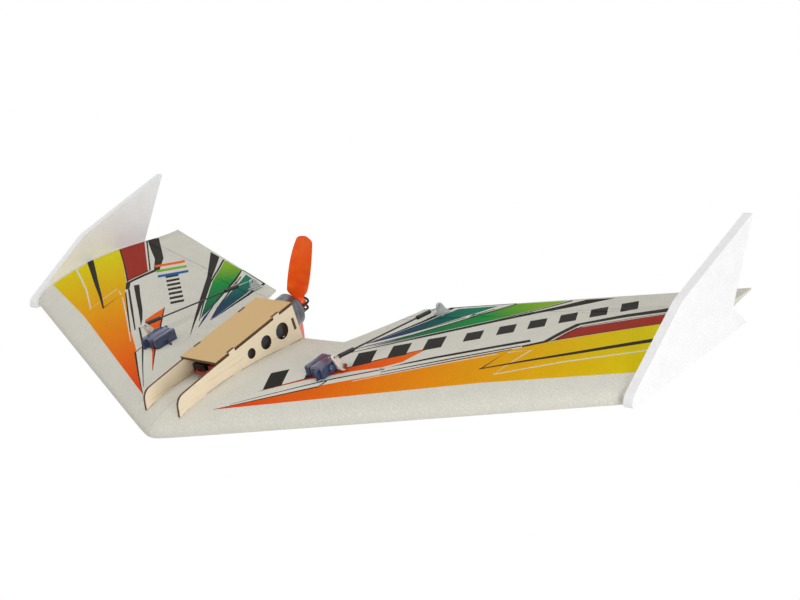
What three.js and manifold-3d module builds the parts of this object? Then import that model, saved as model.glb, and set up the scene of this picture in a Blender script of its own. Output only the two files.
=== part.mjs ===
// Small electric flying wing of bead foam, with a plywood pod and a pusher propeller.
// Millimetres, +Z up, nose towards -Y, the aircraft's left wing towards +X.
import * as THREE from 'three';
import { mergeVertices } from 'three/addons/utils/BufferGeometryUtils.js';
import Module from 'manifold-3d';

const wasm = await Module();
wasm.setup();

// ---------------------------------------------------------------- driving dimensions
const GAP = 0.3;                    // glue line or clearance between neighbours
const HALF_SPAN = 300;              // centreline to the outer face of a tip fin
const FIN_THICKNESS = 6.5;
const ROOT_CHORD = 177.5;           // nose to the trailing edge, before the propeller cut-out
const LEADING_SLOPE = 0.465;        // sweep of the leading edge, mm aft per mm of span
const TRAILING_SLOPE = 0.42;
const NOSE_ROUNDING = 5;
const THICKNESS = 16.6;             // thickest point of the wing section
const EDGE_HEIGHT = 4.6;            // height of the leading edge's foremost point
const TRAILING_THICKNESS = 1.3;
const REFLEX = 5;                   // rise of the trailing edge at the root, nought at the tip
const CUTOUT_DEPTH = 36.5;          // propeller cut-out, measured from the root trailing edge
const CUTOUT_INNER = 58.5;            // its half width at the front and at the back
const CUTOUT_OUTER = 76.5;

const ELEVON_INNER_CHORD = 16.6;
const ELEVON_TIP_CHORD = 37.5;
const BEVEL_DEG = 34;               // front of the elevon, so that it can swing down
const HINGE_GAP = 0.4;
const ELEVON_END_GAP = 1;

const SPAR_Y = 88;                  // the model's origin lies on the spar's underside
const SPAR_WIDTH = 6;
const SPAR_THICKNESS = 1;
const SPAR_LENGTH = 300;

const PLY = 2;                      // plywood sheet
const POD_WIDTH = 36;               // over both side plates
const POD_FRONT = 15;
const POD_REAR = 138.7;
const COVER_FRONT = 58.2;
const POD_HEIGHT_FRONT = 30.1;      // top edge of the side plates where the cover starts
const COVER_SLOPE_DEG = 4.9;
const TAB_DEPTH = 7;
const BOTTOM_TABS = [[26, 43.5], [69.5, 78], [117.5, 126.5]];
const TOP_TABS = [[71.3, 77.3], [118.2, 124.6]];
const HOLES = [[90.7, 22.6, 3.9], [106.2, 23.4, 5.2], [123.2, 23.8, 6.3]];

const THRUST_TILT_DEG = 4;
const FIREWALL_Y = 136.6;           // rear face of the motor plate at the thrust line
const THRUST_Z = 23.5;
const FIREWALL_TAB = 8.6;
const MOTOR_RADIUS = 13;
const BELL_LENGTH = 12.6;
const SHAFT_RADIUS = 1.5;
const PROP_RADIUS = 63.5;
const PROP_PITCH = 76;
const PROP_ANGLE_DEG = 23;          // rest position of the blades, from upright

const SERVO_FOOT_X = 75.5;          // underside of the servo, which lies on its side
const SERVO_HEIGHT = 16;
const SERVO_LENGTH = 19.7;
const SERVO_WIDTH = 8.8;
const SERVO_FRONT = 83.5;
const SERVO_SEAT = THICKNESS - 0.7; // height of the face that lies in the foam
const SERVO_COVER = 4.5;
const EAR_REACH = 3.3;
const SHAFT_INSET = 5;              // from the rear end of the case to the output shaft
const ARM_RADIUS = 10.5;
const ARM_ANGLE_DEG = 120;          // from +Y towards +Z
const ARM_X = 96.2;                 // middle plane of the arm and of the horn
const ARM_THICKNESS = 1.4;

const HORN_Y = 206.5;
const HORN_REACH = 6.9;             // hole above the elevon
const HORN_LEAD = 2.4;              // hole ahead of the horn's middle
const ROD_OFFSET = 2.4;             // rod beside the arm and horn planes
const WIRE_RADIUS = 0.5;
const ROD_RADIUS = 0.6;
const LEAD_RADIUS = 0.7;
const LEAD_Y = 93;

const TURN = Math.PI / 180;
const FIN_INNER = HALF_SPAN - FIN_THICKNESS;
const POD_OUTER = POD_WIDTH / 2;
const POD_INNER = POD_OUTER - PLY;

// ---------------------------------------------------------------- helpers
function toSolid(geometry) {
  const bare = new THREE.BufferGeometry();
  bare.setAttribute('position', geometry.getAttribute('position').clone());
  if (geometry.index) bare.setIndex(geometry.index.clone());
  const merged = mergeVertices(bare, 1e-4);
  return new wasm.Manifold(new wasm.Mesh({
    numProp: 3,
    vertProperties: new Float32Array(merged.getAttribute('position').array),
    triVerts: new Uint32Array(merged.index.array),
  }));
}

function toGeometry(solid) {
  const mesh = solid.getMesh();
  const geometry = new THREE.BufferGeometry();
  geometry.setAttribute('position', new THREE.BufferAttribute(mesh.vertProperties, 3));
  geometry.setIndex(new THREE.BufferAttribute(mesh.triVerts, 1));
  return geometry;
}

function cut(geometry, ...tools) {
  return toGeometry(tools.reduce((body, tool) => body.subtract(toSolid(tool)), toSolid(geometry)));
}

function join(geometry, ...others) {
  return toGeometry(others.reduce((body, other) => body.add(toSolid(other)), toSolid(geometry)));
}

function box(x, y, z) {
  const geometry = new THREE.BoxGeometry(x[1] - x[0], y[1] - y[0], z[1] - z[0]);
  return geometry.translate((x[0] + x[1]) / 2, (y[0] + y[1]) / 2, (z[0] + z[1]) / 2);
}

// a pair of X limits, given for the left side and mirrored for the right one
function across(side, near, far) {
  return side > 0 ? [near, far] : [-far, -near];
}

function rod(radius, start, end, sides = 20) {
  const from = new THREE.Vector3(...start);
  const run = new THREE.Vector3(...end).sub(from);
  const geometry = new THREE.CylinderGeometry(radius, radius, run.length(), sides);
  const turn = new THREE.Quaternion();
  turn.setFromUnitVectors(new THREE.Vector3(0, 1, 0), run.clone().normalize());
  geometry.applyQuaternion(turn);
  return geometry.translate(from.x + run.x / 2, from.y + run.y / 2, from.z + run.z / 2);
}

// ring or cup turned about the Y axis from a closed profile of [radius, height] points
function turned(profile, sides = 36) {
  const points = profile.map(([radius, y]) => new THREE.Vector2(radius, y));
  return outward(new THREE.LatheGeometry(points, sides));
}

function outward(geometry) {
  const solid = toSolid(geometry);
  if (solid.volume() > 0) return geometry;
  const flipped = geometry.index ? geometry.toNonIndexed() : geometry;
  const index = [];
  for (let i = 0; i < flipped.getAttribute('position').count; i += 3) index.push(i, i + 2, i + 1);
  flipped.setIndex(index);
  return flipped;
}

function ringProfile(inner, outer, y0, y1) {
  return [[inner, y0], [outer, y0], [outer, y1], [inner, y1], [inner, y0]];
}

// outline through the points, each corner rounded by its third number
function rounded(points) {
  const shape = new THREE.Shape();
  points.forEach(([x, y, radius], i) => {
    const corner = new THREE.Vector2(x, y);
    const before = points[(i + points.length - 1) % points.length];
    const after = points[(i + 1) % points.length];
    const arrive = new THREE.Vector2(before[0], before[1]).sub(corner).setLength(radius).add(corner);
    const leave = new THREE.Vector2(after[0], after[1]).sub(corner).setLength(radius).add(corner);
    if (i === 0) shape.moveTo(arrive.x, arrive.y);
    else shape.lineTo(arrive.x, arrive.y);
    if (radius > 0) shape.quadraticCurveTo(x, y, leave.x, leave.y);
  });
  return shape;
}

// a sheet standing in the Y-Z plane, from x0 to x0 + thickness
const STANDING = new THREE.Matrix4().makeBasis(
  new THREE.Vector3(0, 1, 0), new THREE.Vector3(0, 0, 1), new THREE.Vector3(1, 0, 0));

function standingSheet(shape, x0, thickness, curveSegments = 6) {
  const settings = { depth: thickness, bevelEnabled: false, curveSegments };
  return new THREE.ExtrudeGeometry(shape, settings).applyMatrix4(STANDING).translate(x0, 0, 0);
}

// straight runs joined by smooth bends that start the given length from each corner
function bentPath(points, bend) {
  const corners = points.map((p) => new THREE.Vector3(...p));
  const path = [corners[0]];
  for (let i = 1; i < corners.length - 1; i += 1) {
    const arrive = corners[i - 1].clone().sub(corners[i]).setLength(bend).add(corners[i]);
    const leave = corners[i + 1].clone().sub(corners[i]).setLength(bend).add(corners[i]);
    path.push(...new THREE.QuadraticBezierCurve3(arrive, corners[i], leave).getPoints(4));
  }
  path.push(corners[corners.length - 1]);
  return path;
}

function smoothPath(points, steps) {
  return new THREE.CatmullRomCurve3(points.map((p) => new THREE.Vector3(...p))).getPoints(steps);
}

// round wire: rings square to the path, each turned as little as possible from the one before
function wire(path, radius, sides = 8) {
  let across0 = new THREE.Vector3(0, 0, 1);
  const rings = path.map((point, i) => {
    const ahead = path[Math.min(i + 1, path.length - 1)];
    const behind = path[Math.max(i - 1, 0)];
    const run = ahead.clone().sub(behind).normalize();
    if (i === 0 && Math.abs(run.z) > 0.9) across0.set(0, 1, 0);
    across0 = across0.clone().addScaledVector(run, -across0.dot(run)).normalize();
    const across1 = run.clone().cross(across0);
    return Array.from({ length: sides }, (_, k) => {
      const turn = 2 * Math.PI * k / sides;
      return point.clone()
        .addScaledVector(across0, radius * Math.cos(turn))
        .addScaledVector(across1, radius * Math.sin(turn));
    });
  });
  return loft(rings);
}

// skin over a row of sections with equal numbers of points, its ends closed by fans
function loft(sections) {
  const count = sections[0].length;
  const positions = sections.flat().flatMap((p) => [p.x, p.y, p.z]);
  const index = [];
  for (let s = 0; s < sections.length - 1; s += 1) {
    for (let i = 0; i < count; i += 1) {
      const a = s * count + i;
      const b = s * count + ((i + 1) % count);
      index.push(a, b, b + count, a, b + count, a + count);
    }
  }
  const last = sections.length - 1;
  for (const [s, turn] of [[0, 1], [last, 0]]) {
    const middle = new THREE.Vector3();
    sections[s].forEach((p) => middle.addScaledVector(p, 1 / count));
    const hub = positions.push(middle.x, middle.y, middle.z) / 3 - 1;
    for (let i = 0; i < count; i += 1) {
      const pair = [s * count + i, s * count + ((i + 1) % count)];
      index.push(hub, pair[turn], pair[1 - turn]);
    }
  }
  const geometry = new THREE.BufferGeometry();
  geometry.setAttribute('position', new THREE.Float32BufferAttribute(positions, 3));
  geometry.setIndex(index);
  return outward(geometry);
}

function material(color, roughness, metalness = 0, opacity = 1) {
  return new THREE.MeshStandardMaterial({
    color, roughness, metalness, opacity, transparent: opacity < 1,
  });
}

const FOAM = material('#e6e4dc', 0.85);
const BIRCH = material('#ead7b8', 0.7);
const BIRCH_COVER = material('#cdb27d', 0.7);
const CARBON = material('#232326', 0.45);
const SHRINK = material('#141414', 0.55);
const STEEL = material('#b9babd', 0.3, 1);
const ALUMINIUM = material('#9c9ea2', 0.35, 1);
const BLACK_NYLON = material('#1b1b1d', 0.5);
const CLEAR_NYLON = material('#dfe3e2', 0.25, 0, 0.6);
const WHITE_NYLON = material('#e9e4d6', 0.4);
const NAVY = material('#3c4866', 0.3, 0, 0.9);
const ORANGE_NYLON = material('#ff5a00', 0.35);
const RED_PLASTIC = material('#d8381c', 0.4);
const RUBBER = material('#161616', 0.8);
const COPPER = material('#a4602c', 0.45, 0.7);
const TAPE = material('#2b2b2b', 0.9);
const SILICONE_RED = material('#b3241c', 0.5);
const BATTERY_WRAP = material('#2e3036', 0.35);

const airframe = new THREE.Group();
airframe.position.y = -SPAR_Y;

function place(parent, name, geometry, look) {
  const mesh = new THREE.Mesh(geometry, look);
  mesh.name = name;
  parent.add(mesh);
}

// ---------------------------------------------------------------- wing surface
const leadingY = (x) => LEADING_SLOPE * (Math.hypot(x, NOSE_ROUNDING) - NOSE_ROUNDING / 2);
const trailingY = (x) => ROOT_CHORD + TRAILING_SLOPE * Math.abs(x);

// blunt superellipse nose up to the thickest point, then a tapering tail
const THICKEST = 0.3;
const NOSE_POWER = 2.3;
const TAIL_POWER = 1.65;
const NOSE_UNDERSIDE = 0.05;

function noseRise(share) {
  return (1 - (1 - share) ** NOSE_POWER) ** (1 / NOSE_POWER);
}

function reflexAt(x, u) {
  const aft = Math.min(Math.max((u - 0.6) / 0.4, 0), 1);
  return REFLEX * (1 - Math.abs(x) / HALF_SPAN) * aft * aft * (3 - 2 * aft);
}

function upper(x, u) {
  const rise = reflexAt(x, u);
  if (u < THICKEST) return EDGE_HEIGHT + (THICKNESS - EDGE_HEIGHT) * noseRise(u / THICKEST);
  const aft = Math.min((u - THICKEST) / (1 - THICKEST), 1);
  return TRAILING_THICKNESS + (THICKNESS - TRAILING_THICKNESS) * (1 - aft * aft) ** TAIL_POWER + rise;
}

function lower(x, u) {
  if (u < NOSE_UNDERSIDE) return EDGE_HEIGHT * (1 - noseRise(u / NOSE_UNDERSIDE));
  return reflexAt(x, u);
}

const chordShare = (x, y) => (y - leadingY(x)) / (trailingY(x) - leadingY(x));
const wingTop = (x, y) => upper(x, chordShare(x, y));
const wingBottom = (x, y) => lower(x, chordShare(x, y));

// hinge line: straight in plan, from the propeller cut-out to the tip
const HINGE_SLOPE = (trailingY(FIN_INNER) - ELEVON_TIP_CHORD - trailingY(CUTOUT_OUTER) + ELEVON_INNER_CHORD)
  / (FIN_INNER - CUTOUT_OUTER);
const hingeY = (x) => trailingY(FIN_INNER) - ELEVON_TIP_CHORD - HINGE_SLOPE * (FIN_INNER - x);

const CUTOUT_Y = ROOT_CHORD - CUTOUT_DEPTH;
const CUTOUT_SLOPE = (trailingY(CUTOUT_OUTER) - CUTOUT_Y) / (CUTOUT_OUTER - CUTOUT_INNER);
const HORN_X = ARM_X;
const HINGE_INNER_X = (hingeY(0) - CUTOUT_Y + CUTOUT_SLOPE * CUTOUT_INNER) / (CUTOUT_SLOPE - HINGE_SLOPE);

const UPPER_STEPS = [0, 0.004, 0.014, 0.035, 0.07, 0.12, 0.19, 0.28, 0.38, 0.5, 0.62, 0.74, 0.87, 1];
const LOWER_STEPS = [1, 0.93, 0.86, 0.79, 0.06, 0.04, 0.02, 0.006];

function wingSection(side, x, rearY) {
  const end = chordShare(x, rearY);
  const station = (u, z) => new THREE.Vector3(side * x, leadingY(x) + u * (trailingY(x) - leadingY(x)), z);
  return [
    ...UPPER_STEPS.map((step) => station(end * step, upper(x, end * step))),
    ...LOWER_STEPS.map((step) => station(end * step, lower(x, end * step))),
  ];
}

function panelBlank(side) {
  const tip = FIN_INNER - GAP;
  return loft([
    wingSection(side, GAP / 2, CUTOUT_Y),
    wingSection(side, NOSE_ROUNDING / 2, CUTOUT_Y),
    wingSection(side, NOSE_ROUNDING * 2, CUTOUT_Y),
    wingSection(side, CUTOUT_INNER, CUTOUT_Y),
    ...[HINGE_INNER_X, HORN_X, MID_PANEL_X, tip].map((x) => wingSection(side, x, hingeY(x))),
  ]);
}

const MID_PANEL_X = 180;            // spare station, so that the skin follows the section

const BLANKS = { left: panelBlank(1), right: panelBlank(-1) };

function liftedPanels(lift) {
  return [BLANKS.left, BLANKS.right].map((blank) => blank.clone().translate(0, 0, lift));
}

// ---------------------------------------------------------------- pod
const coverZ = (y) => POD_HEIGHT_FRONT + (y - COVER_FRONT) * Math.tan(COVER_SLOPE_DEG * TURN);
const SIDE_FRONT_TOP = coverZ(COVER_FRONT) - (COVER_FRONT - POD_FRONT - 4) * 0.11;
const TAB_FLOOR = 8.5;              // underside of the plates before they are trimmed to the wing

const motor = new THREE.Group();
motor.position.set(0, FIREWALL_Y, THRUST_Z);
motor.rotation.x = THRUST_TILT_DEG * TURN;
motor.updateMatrix();

function sidePlate(side) {
  const tabs = TOP_TABS.flatMap(([y0, y1]) => [
    [y0, coverZ(y0), 0], [y0, coverZ(y0) + PLY + GAP, 0],
    [y1, coverZ(y1) + PLY + GAP, 0], [y1, coverZ(y1), 0]]);
  const rearFoot = POD_REAR + (coverZ(POD_REAR) - TAB_FLOOR) * Math.tan(THRUST_TILT_DEG * TURN);
  const outline = rounded([
    [POD_FRONT, TAB_FLOOR - TAB_DEPTH, 0],
    [POD_FRONT + 3.6, SIDE_FRONT_TOP, 7],
    [COVER_FRONT, coverZ(COVER_FRONT), 0],
    ...tabs,
    [POD_REAR, coverZ(POD_REAR), 0.4],
    [rearFoot, TAB_FLOOR - 2, 0],
    [rearFoot, TAB_FLOOR - TAB_DEPTH, 0],
  ]);
  for (const [y, z, radius] of HOLES) {
    const hole = new THREE.Path();
    hole.absarc(y, z, radius, 0, 2 * Math.PI);
    outline.holes.push(hole);
  }
  const [x0, x1] = across(side, POD_INNER, POD_OUTER);
  const sheet = standingSheet(outline, x0, PLY);
  const panel = side > 0 ? BLANKS.left : BLANKS.right;
  const trimmed = cut(sheet, panel.clone().translate(0, 0, GAP), box([x0 - 1, x1 + 1], [0, 200], [-20, 1]));
  const slot = firewallTab(side, PLY + 1, GAP).applyMatrix4(motor.matrix);
  const tongues = BOTTOM_TABS.map(([y0, y1]) => {
    const floor = wingTop(POD_OUTER, (y0 + y1) / 2) - TAB_DEPTH;
    return box([x0, x1], [y0, y1], [floor, floor + TAB_DEPTH + 3]);
  });
  return cut(join(largestPiece(trimmed), ...tongues), slot);
}

// what is left under the wing after trimming is dropped
function largestPiece(geometry) {
  const pieces = toSolid(geometry).decompose();
  pieces.sort((a, b) => b.volume() - a.volume());
  return toGeometry(pieces[0]);
}

function tabSlots(side) {
  return BOTTOM_TABS.map(([y0, y1]) => {
    const floor = wingTop(POD_OUTER, (y0 + y1) / 2) - TAB_DEPTH;
    const x = across(side, POD_INNER - GAP, POD_OUTER + GAP);
    return box(x, [y0 - GAP, y1 + GAP], [floor - GAP, THICKNESS + 6]);
  });
}

function firewallTab(side, length, clearance) {
  const x = across(side, POD_INNER - 1, POD_INNER + length);
  const half = FIREWALL_TAB / 2 + clearance;
  return box(x, [-PLY - clearance, clearance], [-half, half]);
}

function firewall() {
  const top = coverZ(FIREWALL_Y - PLY) - THRUST_Z - 0.8;
  const plate = box([-POD_INNER + GAP, POD_INNER - GAP], [-PLY, 0], [10.4 - THRUST_Z, top]);
  const tabs = [firewallTab(1, PLY, 0), firewallTab(-1, PLY, 0)];
  const notch = box([-LEAD_SLOT, LEAD_SLOT], [-PLY - 1, 1], [-20, LEAD_NOTCH_Z]);
  const screws = MOUNT_SCREWS.map(([x, z]) => rod(1.0 + GAP, [x, -PLY - 1, z], [x, 1, z], 12));
  return cut(join(plate, ...tabs), notch, ...screws);
}

const LEAD_SLOT = 4.5;
const LEAD_NOTCH_Z = -8.2;
const MOUNT_SCREWS = [[-8, 3.5], [8, 3.5]];

function cover() {
  const half = POD_OUTER;
  const cosine = Math.cos(COVER_SLOPE_DEG * TURN);
  const local = (y) => (y - COVER_FRONT) / cosine;
  const notchEdge = POD_INNER - GAP;
  const steps = (sign) => TOP_TABS.flatMap(([y0, y1]) => [
    [sign * half, local(y0) - GAP], [sign * notchEdge, local(y0) - GAP],
    [sign * notchEdge, local(y1) + GAP], [sign * half, local(y1) + GAP]]);
  const outline = [
    [-half, 0], [half, 0], ...steps(1), [half, local(POD_REAR)],
    [-half, local(POD_REAR)], ...steps(-1).reverse(),
  ];
  const shape = new THREE.Shape(outline.map(([x, y]) => new THREE.Vector2(x, y)));
  return new THREE.ExtrudeGeometry(shape, { depth: PLY, bevelEnabled: false });
}

function buildPod() {
  place(airframe, 'pod_side_left', sidePlate(1), BIRCH);
  place(airframe, 'pod_side_right', sidePlate(-1), BIRCH);
  const lid = new THREE.Group();
  lid.position.set(0, COVER_FRONT, POD_HEIGHT_FRONT + GAP);
  lid.rotation.x = COVER_SLOPE_DEG * TURN;
  airframe.add(lid);
  place(lid, 'pod_cover', cover(), BIRCH_COVER);
}

// ---------------------------------------------------------------- servos
const SERVO_TOP_X = SERVO_FOOT_X + SERVO_HEIGHT;
const SERVO_AXIS_Y = SERVO_FRONT + SERVO_LENGTH - SHAFT_INSET;
const SERVO_AXIS_Z = SERVO_SEAT + SERVO_WIDTH / 2;
const EAR_X = SERVO_FOOT_X + 12;
const HUMP = 2.4;
const SHAFT_WIDTH = 1.9;

function servoCase(side) {
  const y = [SERVO_FRONT, SERVO_FRONT + SERVO_LENGTH];
  const z = [SERVO_SEAT, SERVO_SEAT + SERVO_WIDTH];
  const body = box(across(side, SERVO_FOOT_X + SERVO_COVER + GAP, SERVO_TOP_X), y, z);
  const ears = box(across(side, EAR_X, EAR_X + 1.2), [y[0] - EAR_REACH, y[1] + EAR_REACH], z);
  const hump = rod(SERVO_WIDTH / 2 - 0.2,
    [side * (SERVO_TOP_X - 1), SERVO_AXIS_Y, SERVO_AXIS_Z],
    [side * (SERVO_TOP_X + HUMP), SERVO_AXIS_Y, SERVO_AXIS_Z], 28);
  const idler = rod(2.6,
    [side * (SERVO_TOP_X - 1), SERVO_AXIS_Y - 5.6, SERVO_AXIS_Z],
    [side * (SERVO_TOP_X + HUMP), SERVO_AXIS_Y - 5.6, SERVO_AXIS_Z], 20);
  const bore = rod(SHAFT_WIDTH + GAP,
    [side * (SERVO_TOP_X - 1), SERVO_AXIS_Y, SERVO_AXIS_Z],
    [side * (SERVO_TOP_X + HUMP + 1), SERVO_AXIS_Y, SERVO_AXIS_Z], 20);
  const slots = [y[0] - EAR_REACH, y[1] + EAR_REACH].map((end) =>
    box(across(side, EAR_X - 1, EAR_X + 3), [end - 2.1, end + 2.1], [SERVO_AXIS_Z - 0.9, SERVO_AXIS_Z + 0.9]));
  return cut(join(body, ears, hump, idler), bore, ...slots);
}

function servoPocket(side) {
  const y = [SERVO_FRONT - EAR_REACH - GAP, SERVO_FRONT + SERVO_LENGTH + EAR_REACH + GAP];
  return box(across(side, SERVO_FOOT_X - GAP, SERVO_TOP_X + HUMP + GAP), y, [SERVO_SEAT - GAP, 40]);
}

function armPlate(side) {
  const angle = ARM_ANGLE_DEG * TURN;
  const tip = [ARM_RADIUS * Math.cos(angle), ARM_RADIUS * Math.sin(angle)];
  const hubRadius = 3.2;
  const tipRadius = 1.9;
  const lean = Math.asin((hubRadius - tipRadius) / ARM_RADIUS);
  const shape = new THREE.Shape();
  shape.absarc(0, 0, hubRadius, angle + Math.PI / 2 - lean, angle - Math.PI / 2 + lean, false);
  shape.absarc(tip[0], tip[1], tipRadius, angle - Math.PI / 2 + lean, angle + Math.PI / 2 - lean, false);
  const hole = new THREE.Path();
  hole.absarc(tip[0], tip[1], WIRE_RADIUS + 0.35, 0, 2 * Math.PI);
  shape.holes.push(hole);
  const x0 = side * ARM_X - ARM_THICKNESS / 2;
  const plate = standingSheet(shape, x0, ARM_THICKNESS, 10);
  const hub = rod(3.2, [side * (ARM_X - 1.9), 0, 0], [side * (ARM_X + 1.9), 0, 0], 24);
  const bore = rod(SHAFT_WIDTH + GAP, [side * (ARM_X - 3), 0, 0], [side * (ARM_X + 1.1), 0, 0], 20);
  const screwHole = rod(1.1, [side * ARM_X, 0, 0], [side * (ARM_X + 3), 0, 0], 16);
  return cut(join(plate, hub), bore, screwHole);
}

function outputShaft(side) {
  const body = rod(SHAFT_WIDTH, [side * (SERVO_TOP_X - 0.6), 0, 0], [side * (ARM_X + 0.8), 0, 0], 20);
  return cut(body, rod(1.1, [side * (ARM_X - 1.6), 0, 0], [side * (ARM_X + 2), 0, 0], 16));
}

function armScrew(side) {
  const head = rod(1.9, [side * (ARM_X + 2.2), 0, 0], [side * (ARM_X + 3.3), 0, 0], 18);
  const shank = rod(0.8, [side * (ARM_X - 1.2), 0, 0], [side * (ARM_X + 2.4), 0, 0], 12);
  return join(head, shank);
}

function buildServo(side, suffix) {
  place(airframe, `servo_case_${suffix}`, servoCase(side), NAVY);
  const foot = box(across(side, SERVO_FOOT_X, SERVO_FOOT_X + SERVO_COVER),
    [SERVO_FRONT, SERVO_FRONT + SERVO_LENGTH], [SERVO_SEAT, SERVO_SEAT + SERVO_WIDTH]);
  place(airframe, `servo_cover_${suffix}`, foot, NAVY);
  const drive = new THREE.Group();
  drive.position.set(0, SERVO_AXIS_Y, SERVO_AXIS_Z);
  airframe.add(drive);
  place(drive, `servo_arm_${suffix}`, armPlate(side), WHITE_NYLON);
  place(drive, `servo_shaft_${suffix}`, outputShaft(side), BLACK_NYLON);
  place(drive, `arm_screw_${suffix}`, armScrew(side), STEEL);
}

// ---------------------------------------------------------------- elevons and horns
const SURFACE_RUN = 8;
const HORN_TILT = Math.atan((wingTop(HORN_X, HORN_Y + SURFACE_RUN) - wingTop(HORN_X, HORN_Y - SURFACE_RUN))
  / (2 * SURFACE_RUN));
const HORN_BASE_Z = wingTop(HORN_X, HORN_Y) + 1.5 * GAP;
const HORN_HALF = [3.6, 5.2];
const HORN_BASE = 1;
const PEG_RADIUS = 0.8;
const PEGS = [-3.4, 3.4];
const BACK_PLATE_Z = wingBottom(HORN_X, HORN_Y) - HORN_BASE_Z - 3 * GAP;

function elevonSection(side, start, end, bevelled) {
  const point = (t, z) => new THREE.Vector3(
    side * (start[0] + (end[0] - start[0]) * t), start[1] + (end[1] - start[1]) * t, z);
  const plan = (t) => [start[0] + (end[0] - start[0]) * t, start[1] + (end[1] - start[1]) * t];
  const top = [0, 0.25, 0.5, 0.75, 1].map((t) => point(t, wingTop(...plan(t))));
  const bottom = [1, 0.75, 0.5, bevelled].map((t) => point(t, wingBottom(...plan(t))));
  return [...top, ...bottom];
}

function elevonBlank(side) {
  const tip = FIN_INNER - ELEVON_END_GAP;
  const innerX = HINGE_INNER_X + HINGE_GAP / CUTOUT_SLOPE;
  const inner = [innerX, hingeY(innerX) + HINGE_GAP];
  const bevelShare = ([x, y], chord) =>
    (wingTop(x, y) - wingBottom(x, y)) * Math.tan(BEVEL_DEG * TURN) / chord;
  const edges = [[inner, CUTOUT_OUTER], ...[HORN_X, MID_PANEL_X, tip].map((x) => [[x, hingeY(x) + HINGE_GAP], x])];
  return loft(edges.map(([front, x]) => {
    const rear = [x, trailingY(x)];
    return elevonSection(side, front, rear, bevelShare(front, rear[1] - front[1]));
  }));
}

function hornFrame(side) {
  const frame = new THREE.Group();
  frame.position.set(side * HORN_X, HORN_Y, HORN_BASE_Z);
  frame.rotation.x = HORN_TILT;
  frame.updateMatrix();
  return frame;
}

function horn() {
  const base = box([-HORN_HALF[0], HORN_HALF[0]], [-HORN_HALF[1], HORN_HALF[1]], [0, HORN_BASE]);
  const blade = rounded([
    [-HORN_HALF[1], 0.4, 0], [-HORN_LEAD - 2.2, HORN_REACH + 1.9, 1.6],
    [-HORN_LEAD + 2.2, HORN_REACH + 1.9, 1.6], [HORN_HALF[1], 0.4, 0]]);
  const hole = new THREE.Path();
  hole.absarc(-HORN_LEAD, HORN_REACH, WIRE_RADIUS + 0.75, 0, 2 * Math.PI);
  blade.holes.push(hole);
  const sheet = standingSheet(blade, -ARM_THICKNESS / 2, ARM_THICKNESS, 8);
  const pegHoles = hornPegs(PEG_RADIUS + GAP, HORN_BASE + 1);
  return cut(join(base, sheet), ...pegHoles);
}

function hornPegs(radius, top) {
  return [-1, 1].flatMap((sign) => PEGS.map((y) => ({ x: sign * 2.2, y })))
    .map(({ x, y }) => rod(radius, [x, y, BACK_PLATE_Z - 1.5], [x, y, top], 10));
}

function hornPlate() {
  const plate = box([-HORN_HALF[0], HORN_HALF[0]], [-HORN_HALF[1], HORN_HALF[1]],
    [BACK_PLATE_Z - 1, BACK_PLATE_Z]);
  return join(plate, ...hornPegs(PEG_RADIUS, HORN_BASE - 0.1).map((peg) =>
    cut(peg, box([-9, 9], [-9, 9], [BACK_PLATE_Z - 9, BACK_PLATE_Z - 0.9]))));
}

function buildElevon(side, suffix) {
  const frame = hornFrame(side);
  const pegs = hornPegs(PEG_RADIUS + GAP, 2).map((peg) => peg.applyMatrix4(frame.matrix));
  place(airframe, `elevon_${suffix}`, cut(elevonBlank(side), ...pegs), FOAM);
  airframe.add(frame);
  place(frame, `horn_${suffix}`, horn(), CLEAR_NYLON);
  place(frame, `horn_plate_${suffix}`, hornPlate(), CLEAR_NYLON);
}

// ---------------------------------------------------------------- pushrods
const ARM_TIP = [
  SERVO_AXIS_Y + ARM_RADIUS * Math.cos(ARM_ANGLE_DEG * TURN),
  SERVO_AXIS_Z + ARM_RADIUS * Math.sin(ARM_ANGLE_DEG * TURN)];
const HORN_HOLE = [
  HORN_Y - HORN_LEAD * Math.cos(HORN_TILT) - HORN_REACH * Math.sin(HORN_TILT),
  HORN_BASE_Z - HORN_LEAD * Math.sin(HORN_TILT) + HORN_REACH * Math.cos(HORN_TILT)];
const ROD_LENGTH = Math.hypot(HORN_HOLE[0] - ARM_TIP[0], HORN_HOLE[1] - ARM_TIP[1]);
const FRONT_WIRE = 8;
const REAR_WIRE = 18.5;
const SLEEVE_FRONT = [3.4, 17];
const SLEEVE_REAR = [27.5, 13.5];   // both measured back from the horn

function zBend(side, at, towards) {
  const keep = side * ROD_OFFSET;
  const free = side * -ROD_OFFSET;
  const end = at - Math.sign(towards - at) * 2.6;
  return wire(bentPath([[free, end, 0], [free, at, 0], [keep, at, 0], [keep, towards, 0]], 0.9), WIRE_RADIUS);
}

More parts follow.
